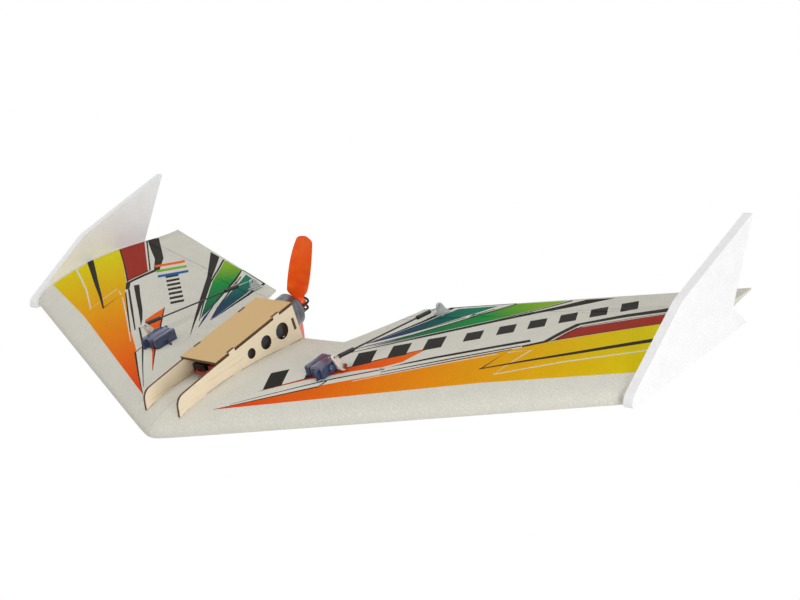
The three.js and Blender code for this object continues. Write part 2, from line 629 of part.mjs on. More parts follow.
function buildPushrod(side, suffix) {
  const link = new THREE.Group();
  link.position.set(side * ARM_X, ARM_TIP[0], ARM_TIP[1]);
  link.rotation.x = Math.atan2(HORN_HOLE[1] - ARM_TIP[1], HORN_HOLE[0] - ARM_TIP[0]);
  airframe.add(link);
  const x = side * ROD_OFFSET;
  const rear = ROD_LENGTH;
  const sleeve = (y0, y1) => turned(ringProfile(ROD_RADIUS + GAP, 1.5, y0, y1), 20).translate(x, 0, 0);
  place(link, `front_wire_${suffix}`, zBend(side, 0, FRONT_WIRE), STEEL);
  place(link, `rear_wire_${suffix}`, zBend(side, rear, rear - REAR_WIRE), STEEL);
  place(link, `pushrod_${suffix}`,
    rod(ROD_RADIUS, [x, FRONT_WIRE + GAP, 0], [x, rear - REAR_WIRE - GAP, 0], 14), CARBON);
  place(link, `front_sleeve_${suffix}`, sleeve(SLEEVE_FRONT[0], SLEEVE_FRONT[1]), SHRINK);
  place(link, `rear_sleeve_${suffix}`, sleeve(rear - SLEEVE_REAR[0], rear - SLEEVE_REAR[1]), SHRINK);
}

// ---------------------------------------------------------------- wing panels, fins, spar
function leadSlit(side) {
  const end = side > 0 ? LEAD_END_LEFT : LEAD_END_RIGHT;
  const x0 = Math.min(side * (SERVO_FOOT_X + 1), end - 1);
  const x1 = Math.max(side * (SERVO_FOOT_X + 1), end + 1);
  return box([x0, x1], [LEAD_Y - LEAD_RADIUS - GAP, LEAD_Y + LEAD_RADIUS + GAP], [LEAD_Z - 1.1, 40]);
}

const LEAD_Z = 13.2;
const LEAD_END_LEFT = -9.8;
const LEAD_END_RIGHT = -13;

function wingPanel(side) {
  const blank = side > 0 ? BLANKS.left : BLANKS.right;
  const groove = box([-SPAR_LENGTH / 2 - GAP, SPAR_LENGTH / 2 + GAP],
    [SPAR_Y - SPAR_WIDTH / 2 - GAP, SPAR_Y + SPAR_WIDTH / 2 + GAP], [-1, SPAR_THICKNESS + GAP]);
  const slits = side > 0 ? [leadSlit(1)] : [leadSlit(-1), leadSlit(1)];
  return cut(blank, ...tabSlots(side), servoPocket(side), groove, ...slits);
}

function fin(side) {
  const outline = rounded([
    [276.3, -11.4, 1.5], [260.5, 6.5, 1], [303, 56.6, 1.8], [201.7, 40.3, 3],
    [131.2, 9.5, 4], [129.5, 2.6, 3]]);
  return standingSheet(outline, side > 0 ? FIN_INNER : -HALF_SPAN, FIN_THICKNESS);
}

function buildWing(side, suffix) {
  place(airframe, `wing_panel_${suffix}`, wingPanel(side), FOAM);
  place(airframe, `fin_${suffix}`, fin(side), FOAM);
}

function buildSpar() {
  const strip = box([-SPAR_LENGTH / 2, SPAR_LENGTH / 2],
    [SPAR_Y - SPAR_WIDTH / 2, SPAR_Y + SPAR_WIDTH / 2], [0, SPAR_THICKNESS]);
  place(airframe, 'spar_strip', strip, CARBON);
}

// ---------------------------------------------------------------- power train, fixed pieces
const BATTERY = { x: [2.6, 15.6], y: [82, 126], height: 13 };
const CONTROLLER = { x: [-15.2, -3.2], y: [64, 89], height: 6 };
const RECEIVER = { x: [-15.4, -3.6], y: [99, 121], height: 10 };
const PLUG = { x: [-0.6, 5], y: [65, 76], height: 5 };
const POWER_LEAD_RADIUS = 1;
const LEAD_FIRST_START = -4.2;      // three motor leads side by side, left one first
const LEAD_FIRST_LANE = 1.3;
const LEAD_PITCH = 1.8;
const LEAD_EXIT_Z = 11.9;           // where they pass under the motor plate
const TAPE_THICKNESS = 1.2;

function seat(item) {
  const corners = item.y.flatMap((y) => item.x.map((x) => wingTop(x, y)));
  return Math.max(...corners) + GAP + TAPE_THICKNESS;
}

// foam tape that fills the space between a flat item and the curved wing
function tapePad(item) {
  const blank = box(item.x, item.y, [2, seat(item) - GAP]);
  return largestPiece(cut(blank, ...liftedPanels(GAP),
    box([-40, 40], [0, 200], [-20, wingTop(0, item.y[1]) - 1])));
}

function block(item, softness) {
  const [x0, x1] = item.x;
  const [y0, y1] = item.y;
  const z0 = seat(item);
  const z1 = z0 + item.height;
  const outline = rounded([[x0, z0, softness], [x1, z0, softness], [x1, z1, softness], [x0, z1, softness]]);
  const solid = new THREE.ExtrudeGeometry(outline, { depth: y1 - y0, bevelEnabled: false, curveSegments: 4 });
  return solid.rotateX(Math.PI / 2).translate(0, y1, 0);
}

function buildElectronics() {
  const battery = seat(BATTERY);
  const controller = seat(CONTROLLER) + CONTROLLER.height / 2;
  const receiver = seat(RECEIVER);
  place(airframe, 'battery_tape', tapePad(BATTERY), TAPE);
  place(airframe, 'controller_tape', tapePad(CONTROLLER), TAPE);
  place(airframe, 'receiver_tape', tapePad(RECEIVER), TAPE);
  place(airframe, 'battery', block(BATTERY, 2), BATTERY_WRAP);
  place(airframe, 'speed_controller', block(CONTROLLER, 1.6), SHRINK);
  place(airframe, 'receiver', block(RECEIVER, 1), BLACK_NYLON);
  const plug = box(PLUG.x, PLUG.y, [controller - PLUG.height / 2, controller + PLUG.height / 2]);
  place(airframe, 'power_plug', plug, RED_PLASTIC);
  const front = CONTROLLER.y[0] - GAP;
  const plugX = (PLUG.x[0] + PLUG.x[1]) / 2;
  const loop = smoothPath([
    [-9, front, controller], [-8.8, front - 1.5, controller], [-6, front - 4.6, controller],
    [-0.8, front - 4.6, controller], [plugX - 0.2, front - 1.5, controller],
    [plugX, PLUG.y[0] - GAP, controller]], 16);
  place(airframe, 'power_lead', wire(loop, POWER_LEAD_RADIUS), SILICONE_RED);
  const end = battery + BATTERY.height / 2;
  const feed = smoothPath([
    [plugX, PLUG.y[1] + GAP, controller], [plugX, PLUG.y[1] + 1.2, controller],
    [7, BATTERY.y[0] - 2.2, end], [8.6, BATTERY.y[0] - 1.2, end], [8.8, BATTERY.y[0] - GAP, end]], 14);
  place(airframe, 'battery_lead', wire(feed, POWER_LEAD_RADIUS), SILICONE_RED);
  buildMotorLeads(controller);
  buildServoLeads(receiver);
}

function buildMotorLeads(z) {
  ['a', 'b', 'c'].forEach((letter, i) => {
    const start = LEAD_FIRST_START - LEAD_PITCH * i;
    const lane = LEAD_FIRST_LANE - LEAD_PITCH * i;
    const turnY = CONTROLLER.y[1] + 1.6 + i;
    const shift = lane - start;
    place(airframe, `motor_lead_${letter}`, wire(bentPath([
      [start, CONTROLLER.y[1] + GAP, z], [start, turnY, z], [lane, turnY + shift, z],
      [lane, 118, z - 0.6], [lane, 131, LEAD_EXIT_Z], [lane, 139.2, LEAD_EXIT_Z]], 1.2), LEAD_RADIUS), COPPER);
  });
}

function buildServoLeads(receiver) {
  const ends = { left: LEAD_END_LEFT, right: LEAD_END_RIGHT };
  for (const [suffix, side] of [['left', 1], ['right', -1]]) {
    const end = ends[suffix];
    const start = side * (SERVO_FOOT_X - GAP);
    place(airframe, `servo_lead_${suffix}`, wire(bentPath([
      [start, LEAD_Y, SERVO_AXIS_Z - 1.5], [start - side * 2.4, LEAD_Y, SERVO_AXIS_Z - 1.5],
      [start - side * 5.4, LEAD_Y, LEAD_Z],
      [end, LEAD_Y, LEAD_Z], [end, LEAD_Y, receiver + 3], [end, RECEIVER.y[0] - GAP, receiver + 3],
    ], 1.1), LEAD_RADIUS), BLACK_NYLON);
  }
}

function buildMotorMount() {
  airframe.add(motor);
  place(motor, 'firewall', firewall(), BIRCH);
  const plate = turned(ringProfile(SHAFT_RADIUS + 0.5, 10.4, GAP, GAP + 1.5));
  const holes = MOUNT_SCREWS.map(([x, z]) => rod(1.0 + GAP, [x, -1, z], [x, 3, z], 12));
  place(motor, 'motor_mount', cut(plate, ...holes), ALUMINIUM);
  const wound = [[1.9, 2.1], [5.4, 2.1], [5.4, 5.8], [10.6, 5.8], [10.6, 13.2], [1.9, 13.2], [1.9, 2.1]];
  place(motor, 'stator', turned(wound), COPPER);
  ['left', 'right'].forEach((suffix, i) => {
    const [x, z] = MOUNT_SCREWS[1 - i];
    const head = rod(1.9, [x, GAP + 1.5 + GAP, z], [x, GAP + 1.5 + GAP + 1.2, z], 16);
    const shank = rod(1.0, [x, -PLY - 1.5, z], [x, GAP + 2.2, z], 12);
    place(motor, `mount_screw_${suffix}`, join(head, shank), STEEL);
  });
}

// ---------------------------------------------------------------- rotor
const BELL_START = 5.2;
const BELL_END = BELL_START + BELL_LENGTH;
const BELL_INNER = MOTOR_RADIUS - 1.6;
const SAVER = [BELL_END + GAP, BELL_END + GAP + 5.2];
const HUB = [SAVER[1] + GAP, SAVER[1] + GAP + 4.6];
const HUB_RADIUS = 5.2;
const SAVER_SCREW_Y = SAVER[0] + 3.5;
const SCREW_REACH = 8.6;
const RING_CORD = 0.9;

function bell() {
  const profile = [
    [MOTOR_RADIUS, BELL_START], [MOTOR_RADIUS, BELL_END - 1.5], [MOTOR_RADIUS - 1.5, BELL_END],
    [SHAFT_RADIUS + GAP, BELL_END], [SHAFT_RADIUS + GAP, BELL_END - 3.2], [BELL_INNER, BELL_END - 3.2],
    [BELL_INNER, BELL_START], [MOTOR_RADIUS, BELL_START]];
  return turned(profile, 40);
}

function saver() {
  const body = turned(ringProfile(SHAFT_RADIUS + GAP, 4.6, SAVER[0], SAVER[1]), 28);
  return cut(body, rod(1.1, [-9, SAVER_SCREW_Y, 0], [9, SAVER_SCREW_Y, 0], 14));
}

function saverScrew(sign) {
  const shank = rod(0.8, [sign * (SHAFT_RADIUS + 0.6), SAVER_SCREW_Y, 0], [sign * SCREW_REACH, SAVER_SCREW_Y, 0], 12);
  const head = rod(1.7, [sign * (SCREW_REACH - 1.4), SAVER_SCREW_Y, 0], [sign * SCREW_REACH, SAVER_SCREW_Y, 0], 16);
  return join(shank, head);
}

// blade sections from the hub to the tip: reach ahead of and behind the blade's axis
const rootRamp = (t) => Math.sin(Math.min(t / 0.16, 1) * Math.PI / 2);
const bladeLead = (t) => 2.4 + 7.2 * rootRamp(t) - 7.4 * t ** 3;
const bladeTrail = (t) => 1.4 + 3.2 * rootRamp(t) * (1 - t) + 12 * t - 4.3 * t ** 2;
const TIP_START = 0.93;             // where the blade starts to round off
const BLADE_STEPS = [0, 0.06, 0.11, 0.17, 0.26, 0.38, 0.52, 0.66, 0.79, 0.89, 0.95, 0.98, 0.995];
const BLADE_START = 3.6;

function bladeSection(sign, t) {
  const span = BLADE_START + t * (PROP_RADIUS - BLADE_START);
  const pitch = Math.min(Math.atan(PROP_PITCH / (2 * Math.PI * span)), 40 * TURN);
  const shrink = Math.sqrt(1 - (Math.max(t - TIP_START, 0) / (1 - TIP_START)) ** 2);
  const middle = (bladeTrail(t) - bladeLead(t)) / 2;
  const half = (bladeTrail(t) + bladeLead(t)) / 2 * shrink;
  const thick = 2.2 - 1.5 * t;
  const ring = [];
  for (let i = 0; i < 12; i += 1) {
    const turn = 2 * Math.PI * i / 12;
    const chord = middle + half * Math.cos(turn);
    const rise = thick / 2 * Math.sin(turn) + thick * 0.5 * (1 - (chord - middle) ** 2 / half ** 2);
    ring.push(new THREE.Vector3(
      sign * (chord * Math.cos(pitch) - rise * Math.sin(pitch)),
      chord * Math.sin(pitch) + rise * Math.cos(pitch), sign * span));
  }
  return ring;
}

function blade(sign) {
  return loft(BLADE_STEPS.map((t) => bladeSection(sign, t)));
}

function propeller() {
  const middle = (HUB[0] + HUB[1]) / 2;
  const hub = rod(HUB_RADIUS, [0, HUB[0], 0], [0, HUB[1], 0], 32);
  const blades = [blade(1), blade(-1)].map((one) => one.translate(0, middle, 0));
  const trimmed = toSolid(join(hub, ...blades));
  const bore = rod(SHAFT_RADIUS + GAP, [0, HUB[0] - 6, 0], [0, HUB[1] + 6, 0], 20);
  const above = box([-9, 9], [HUB[1], HUB[1] + 9], [-9, 9]);
  const below = box([-9, 9], [HUB[0] - 9, HUB[0]], [-9, 9]);
  return [bore, above, below].reduce((body, tool) => body.subtract(toSolid(tool)), trimmed);
}

// stretched ring: over the hub's rear face on both sides of the shaft, and round both screws
function oRing() {
  const over = HUB[1] + RING_CORD + GAP;
  const under = SAVER_SCREW_Y - 0.8 - RING_CORD - GAP;
  const quarter = [
    [0, over, 3.2], [4.4, over, 3.2], [6.2, over - 1.5, 3.15], [6.3, HUB[0], 2.7],
    [6, SAVER_SCREW_Y - 0.4, 2.1]];
  const back = quarter.slice(1).reverse().map(([x, y, z]) => [x, y, -z]);
  const half = [...quarter, [5.9, under, 0], ...back];
  const mirrored = half.map(([x, y, z]) => [-x, y, -z]);
  const points = [...half, ...mirrored].map((p) => new THREE.Vector3(...p));
  const path = new THREE.CatmullRomCurve3(points, true);
  return outward(new THREE.TubeGeometry(path, 52, RING_CORD, 8, true));
}

function buildRotor() {
  const rotor = new THREE.Group();
  rotor.rotation.y = PROP_ANGLE_DEG * TURN;
  motor.add(rotor);
  place(rotor, 'motor_bell', bell(), ALUMINIUM);
  const shaft = rod(SHAFT_RADIUS, [0, 4, 0], [0, HUB[1] + 2.5, 0], 20);
  place(rotor, 'motor_shaft', shaft, STEEL);
  place(rotor, 'prop_saver', saver(), ALUMINIUM);
  place(rotor, 'saver_screw_a', saverScrew(1), BLACK_NYLON);
  place(rotor, 'saver_screw_b', saverScrew(-1), BLACK_NYLON);
  place(rotor, 'o_ring', oRing(), RUBBER);
  place(rotor, 'propeller', toGeometry(propeller()), ORANGE_NYLON);
}

// ---------------------------------------------------------------- assembly
buildSpar();
for (const [suffix, side] of [['left', 1], ['right', -1]]) {
  buildWing(side, suffix);
  buildServo(side, suffix);
  buildElevon(side, suffix);
  buildPushrod(side, suffix);
}
buildPod();
buildElectronics();
buildMotorMount();
buildRotor();

export default airframe;
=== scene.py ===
# %% [markdown]
# # A small foam flying wing, dressed for the studio
# The frame brings in every solid piece of the aircraft at its real size and place. What is left to make is
# what a solid model does not carry: beaded foam with a printed film, plywood with scorched laser edges,
# tinted servo cases, a glossy moulded propeller. All lengths below are in millimetres until the last step,
# where they are turned to metres, and all places are given in the aircraft's own drawing frame, in which the
# nose lies at y = 0. The model's origin is 88 mm behind the nose, on the spar.

import math
import bpy
import numpy as np
from mathutils import Matrix, Vector
from mathutils.geometry import delaunay_2d_cdt


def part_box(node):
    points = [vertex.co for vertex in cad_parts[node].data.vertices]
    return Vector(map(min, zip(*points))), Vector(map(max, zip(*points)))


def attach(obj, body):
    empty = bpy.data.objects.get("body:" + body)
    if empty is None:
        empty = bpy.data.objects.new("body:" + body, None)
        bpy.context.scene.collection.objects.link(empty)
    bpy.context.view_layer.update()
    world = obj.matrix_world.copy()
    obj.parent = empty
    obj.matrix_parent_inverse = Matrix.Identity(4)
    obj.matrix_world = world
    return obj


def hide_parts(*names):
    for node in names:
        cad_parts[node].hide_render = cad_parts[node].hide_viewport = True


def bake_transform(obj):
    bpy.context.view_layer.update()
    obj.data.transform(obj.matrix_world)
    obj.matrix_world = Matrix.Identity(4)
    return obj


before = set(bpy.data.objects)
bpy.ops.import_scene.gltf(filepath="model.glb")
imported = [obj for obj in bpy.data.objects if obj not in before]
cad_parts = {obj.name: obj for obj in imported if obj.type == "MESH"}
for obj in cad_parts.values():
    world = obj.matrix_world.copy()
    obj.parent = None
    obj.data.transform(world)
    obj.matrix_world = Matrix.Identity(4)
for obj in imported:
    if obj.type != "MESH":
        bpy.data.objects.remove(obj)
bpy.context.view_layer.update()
SPAR_Y = 88.0
scene = bpy.context.scene
print("solid pieces:", len(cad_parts))


# %% [markdown]
# ## Camera
# The aircraft is seen from ahead and to its left, banked a little. A long lens keeps the wing's perspective
# mild, so the camera is placed by its position and its three axes, worked out from azimuth, height and roll.

# %% Camera
def camera_axes(azimuth, elevation, roll):
    """Right, up and back vectors: turned to the azimuth, raised, then rolled about the line of sight."""
    a, e, r = (math.radians(v) for v in (azimuth, elevation, roll))
    back = Vector((math.sin(a) * math.cos(e), -math.cos(a) * math.cos(e), math.sin(e)))
    level = Vector((math.cos(a), math.sin(a), 0))
    upright = back.cross(level)
    right = level * math.cos(r) + upright * math.sin(r)
    return right, back.cross(right), back


lens = bpy.data.cameras.new("long_lens")
lens.lens = 66.37
lens.sensor_width = 36
lens.clip_start = 0.05
camera = bpy.data.objects.new("camera", lens)
scene.collection.objects.link(camera)
right, up, back = camera_axes(44.1516, 23.1069, -13.5169)
camera.matrix_world = Matrix((
    (right.x, up.x, back.x, 0.75291),
    (right.y, up.y, back.y, -0.50924 - SPAR_Y / 1000),
    (right.z, up.z, back.z, 0.43782),
    (0, 0, 0, 1)))
scene.camera = camera
scene.view_settings.view_transform = "Standard"


# %% [markdown]
# ## Colour and nodes
# Colours are written as the hex values of a paint chart. Blender's shaders work in linear light, so one
# function turns them. A second one adds a shader node, sets its inputs and wires it up.

# %% Colour and node helpers
def hex_colour(code, alpha=1.0):
    """sRGB hex to linear: c/12.92 below 0.04045, else ((c + 0.055)/1.055) to the power 2.4."""
    values = [int(code[i:i + 2], 16) / 255 for i in (1, 3, 5)]
    linear = [v / 12.92 if v < 0.04045 else ((v + 0.055) / 1.055) ** 2.4 for v in values]
    return (*linear, alpha)


def add(tree, kind, inputs=(), **settings):
    """One shader node: settings are its properties, inputs maps a socket to a value or another socket."""
    node = tree.nodes.new(kind)
    for key, value in settings.items():
        setattr(node, key, value)
    for socket, value in dict(inputs).items():
        if isinstance(value, bpy.types.NodeSocket):
            tree.links.new(value, node.inputs[socket])
        else:
            node.inputs[socket].default_value = value
    return node


def new_material(name, roughness=0.5, metallic=0.0, ior=1.5, **sockets):
    """A principled material, constants on the shader's own sockets. Returns it, its tree and its shader."""
    made = bpy.data.materials.new(name)
    made.use_nodes = True
    tree = made.node_tree
    shader = tree.nodes["Principled BSDF"]
    shader.inputs["Roughness"].default_value = roughness
    shader.inputs["Metallic"].default_value = metallic
    shader.inputs["IOR"].default_value = ior
    for socket, value in sockets.items():
        shader.inputs[socket.replace("_", " ")].default_value = value
    return made, tree, shader


def ramp_stops(node, stops):
    """Fills a colour ramp with (place, hex) stops."""
    band = node.color_ramp
    while len(band.elements) < len(stops):
        band.elements.new(0.5)
    for element, (place, code) in zip(band.elements, stops):
        element.position = place
        element.color = hex_colour(code)


# %% [markdown]
# ## Beaded foam
# The wing is expanded polypropylene: beads about 2.5 mm across, blown into a mould with steam until they weld.
# The eye reads it by shallow dimples where beads meet and by a faint grain. A Voronoi pattern on the object's
# own coordinates has that cell size. The printed film is ironed onto the same beads, so every ink shares the
# relief, and only its colour and sheen differ.

# %% Foam and ink materials
BEAD = 0.0025          # metres from one bead's middle to the next


def bead_relief(tree, shader, depth):
    """Dimples between beads: distance to the nearest cell edge, plus a fine grain, as a bump."""
    place = add(tree, "ShaderNodeTexCoord").outputs["Object"]
    cells = add(tree, "ShaderNodeTexVoronoi", {"Vector": place, "Scale": 1 / BEAD},
                feature="DISTANCE_TO_EDGE")
    seam = add(tree, "ShaderNodeMath", {0: cells.outputs["Distance"], 1: 0.18}, operation="MINIMUM")
    grain = add(tree, "ShaderNodeTexNoise", {"Vector": place, "Scale": 520.0, "Detail": 3.0})
    height = add(tree, "ShaderNodeMath", {0: grain.outputs["Fac"], 1: 0.45, 2: seam.outputs[0]},
                 operation="MULTIPLY_ADD")
    bump = add(tree, "ShaderNodeBump", {"Height": height.outputs[0], "Strength": depth, "Distance": 0.0010})
    tree.links.new(bump.outputs["Normal"], shader.inputs["Normal"])
    return place, seam


def foam_mottle_and_seam_shade(tree, place, seam, base):
    """Colour of bare or inked foam: the base, with painted shade in the seams between beads, and cloudy over
    12 mm.
    """
    cloud = add(tree, "ShaderNodeTexNoise", {"Vector": place, "Scale": 85.0, "Detail": 3.0})
    # painted shade: the colour is a little darker where the bead seams dip, as if the grooves were in shadow
    painted_seam_shade = add(tree, "ShaderNodeMath", {0: seam.outputs[0], 1: 0.28, 2: 0.90}, operation="MULTIPLY_ADD")
    tone = add(tree, "ShaderNodeMath", {0: cloud.outputs["Fac"], 1: 0.10, 2: painted_seam_shade.outputs[0]},
               operation="MULTIPLY_ADD")
    value = add(tree, "ShaderNodeCombineColor", {"Red": tone.outputs[0], "Green": tone.outputs[0],
                                                 "Blue": tone.outputs[0]})
    return add(tree, "ShaderNodeMix", {"Factor": 1.0, 6: base, 7: value.outputs[0]},
               data_type="RGBA", blend_type="MULTIPLY").outputs[2]


def foam_material(name, code, roughness=0.75, depth=0.35):
    """Bead foam or a plain ink on it; air-filled beads throw back almost no mirror-like light."""
    made, tree, shader = new_material(name, roughness, ior=1.49, Specular_IOR_Level=0.12)
    place, seam = bead_relief(tree, shader, depth)
    tree.links.new(foam_mottle_and_seam_shade(tree, place, seam, hex_colour(code)), shader.inputs["Base Color"])
    return made


def graded_ink(name, start, end, stops, depth=0.5):
    """Ink that changes along a line: the share of the way from start to end drives a colour ramp."""
    made, tree, shader = new_material(name, 0.7, ior=1.49, Specular_IOR_Level=0.12)
    place, seam = bead_relief(tree, shader, depth)
    start, end = (np.array((p[0], p[1] - SPAR_Y, 0)) / 1000 for p in (start, end))
    along = (end - start) / np.dot(end - start, end - start)
    mirrored = add(tree, "ShaderNodeVectorMath", {0: place}, operation="ABSOLUTE")
    split = add(tree, "ShaderNodeSeparateXYZ", {0: place})
    split_x = add(tree, "ShaderNodeSeparateXYZ", {0: mirrored.outputs[0]})
    both = add(tree, "ShaderNodeCombineXYZ", {0: split_x.outputs[0], 1: split.outputs[1], 2: 0.0})
    moved = add(tree, "ShaderNodeVectorMath", {0: both.outputs[0], 1: tuple(start)}, operation="SUBTRACT")
    share = add(tree, "ShaderNodeVectorMath", {0: moved.outputs[0], 1: tuple(along)},
                operation="DOT_PRODUCT")
    band = add(tree, "ShaderNodeValToRGB", {0: share.outputs["Value"]})
    ramp_stops(band, stops)
    tree.links.new(foam_mottle_and_seam_shade(tree, place, seam, band.outputs[0]), shader.inputs["Base Color"])
    return made


FOAM = foam_material("expanded_polypropylene_foam", "#e2dfd3", 0.85, 0.8)
FIN_FOAM = foam_material("white_foam_sheet", "#fbfbfb", 0.85, 0.2)
INKS = {
    "foam": FOAM,
    "sun": graded_ink("orange_to_yellow_ink", (50, 40), (292, 200),
                      [(0.0, "#e6460a"), (0.2, "#ec6a04"), (0.42, "#ee8c00"), (0.64, "#e8aa00"),
                       (1.0, "#e0d200")]),
    "black": foam_material("black_ink", "#26241f", 0.75, 0.5),
    "red": foam_material("dark_red_ink", "#9c2f22", 0.75, 0.5),
    "orange": graded_ink("orange_ink", (55, 58), (133, 143),
                         [(0.0, "#e85a2a"), (0.5, "#f0560e"), (1.0, "#f26a10")]),
    "leaf": graded_ink("green_to_lime_ink", (90, 140), (160, 245),
                       [(0.0, "#0d4a44"), (0.3, "#0a6b3c"), (0.65, "#128a38"), (1.0, "#86b224")]),
    "sea": graded_ink("navy_to_teal_ink", (82, 143), (116, 222),
                      [(0.0, "#2b2f63"), (0.35, "#123f58"), (0.7, "#0c5a50"), (1.0, "#12785a")]),
    "navy": foam_material("navy_ink", "#2c3060", 0.75, 0.5),
    "blue": foam_material("blue_ink", "#2560a8", 0.75, 0.5),
}
print("inks:", ", ".join(INKS))


# %% [markdown]
# ## The wing section
# The same formulas that cut the foam give the height of its skin. A section has a blunt nose (a superellipse
# of power 2.3 up to the thickest point at 30 % of the chord), a tail that thins out, and a tail edge that
# rises towards the root. Working on whole arrays gives the height of thousands of skin points at once.

# %% Wing section
HALF_SPAN = 300.0
THICKNESS = 16.6
EDGE_HEIGHT = 4.6
TAIL_HEIGHT = 1.3


def leading_y(x):
    """Swept leading edge, rounded at the nose: 0.465 (root(x^2 + 25) - 2.5)."""
    return 0.465 * (np.hypot(x, 5.0) - 2.5)


def trailing_y(x):
    """Swept trailing edge: 177.5 + 0.42 |x|."""
    return 177.5 + 0.42 * np.abs(x)


def reflex(x, u):
    """Rise of the tail: 5 mm at the root, none at the tip, eased in over the last 40 % of the chord."""
    aft = np.clip((u - 0.6) / 0.4, 0, 1)
    return 5.0 * (1 - np.abs(x) / HALF_SPAN) * aft * aft * (3 - 2 * aft)


def chord_share(x, y):
    """How far back a point lies: 0 at the leading edge, 1 at the trailing edge."""
    return np.clip((y - leading_y(x)) / (trailing_y(x) - leading_y(x)), 0, 1)


def top_z(x, y):
    """Upper surface: superellipse nose, then thickness times (1 - aft^2)^1.65, plus the reflex."""
    u = chord_share(x, y)
    nose = (1 - (1 - np.clip(u / 0.3, 0, 1)) ** 2.3) ** (1 / 2.3)
    aft = np.clip((u - 0.3) / 0.7, 0, 1)
    tail = TAIL_HEIGHT + (THICKNESS - TAIL_HEIGHT) * (1 - aft ** 2) ** 1.65 + reflex(x, u)
    return np.where(u < 0.3, EDGE_HEIGHT + (THICKNESS - EDGE_HEIGHT) * nose, tail)


def bottom_z(x, y):
    """Lower surface: the nose rounds under within 5 % of the chord, then it is flat but for the reflex."""
    u = chord_share(x, y)
    nose = EDGE_HEIGHT * (1 - (1 - (1 - np.clip(u / 0.05, 0, 1)) ** 2.3) ** (1 / 2.3))
    return np.where(u < 0.05, nose, reflex(x, u))


# %% [markdown]
# ## The printed pattern
# The film is a fan of stripes: a warm band along the leading edge, black pinstripes with bare foam between
# them, a dark red block outboard, and green and blue wedges at the trailing edge. Each one is an outline in
# plan. A stripe is a centre line with a width at each point. Where the real film carries words, plain
# slanted bars take their place.

# %% Pattern outlines
def stripe(points, widths):
    """Outline of a stripe: its centre line moved half a width to one side, then back along the other."""
    p = np.array(points, float)
    run = np.gradient(p, axis=0)
    normal = np.stack([-run[:, 1], run[:, 0]], 1) / np.linalg.norm(run, axis=1)[:, None]
    half = np.array(widths, float)[:, None] / 2
    return np.concatenate([p + normal * half, (p - normal * half)[::-1]])


def bar(x, y, width, height, slope=0.9, lean=0.35):
    """A slanted bar on the fan's slope: a parallelogram whose foot is at (x, y)."""
    along = np.array((1.0, slope)) / math.hypot(1, slope) * width
    rise = np.array((-slope + lean, 1.0)) / math.hypot(slope - lean, 1) * height
    foot = np.array((x, y), float)
    return np.array([foot, foot + along, foot + along + rise, foot + rise])


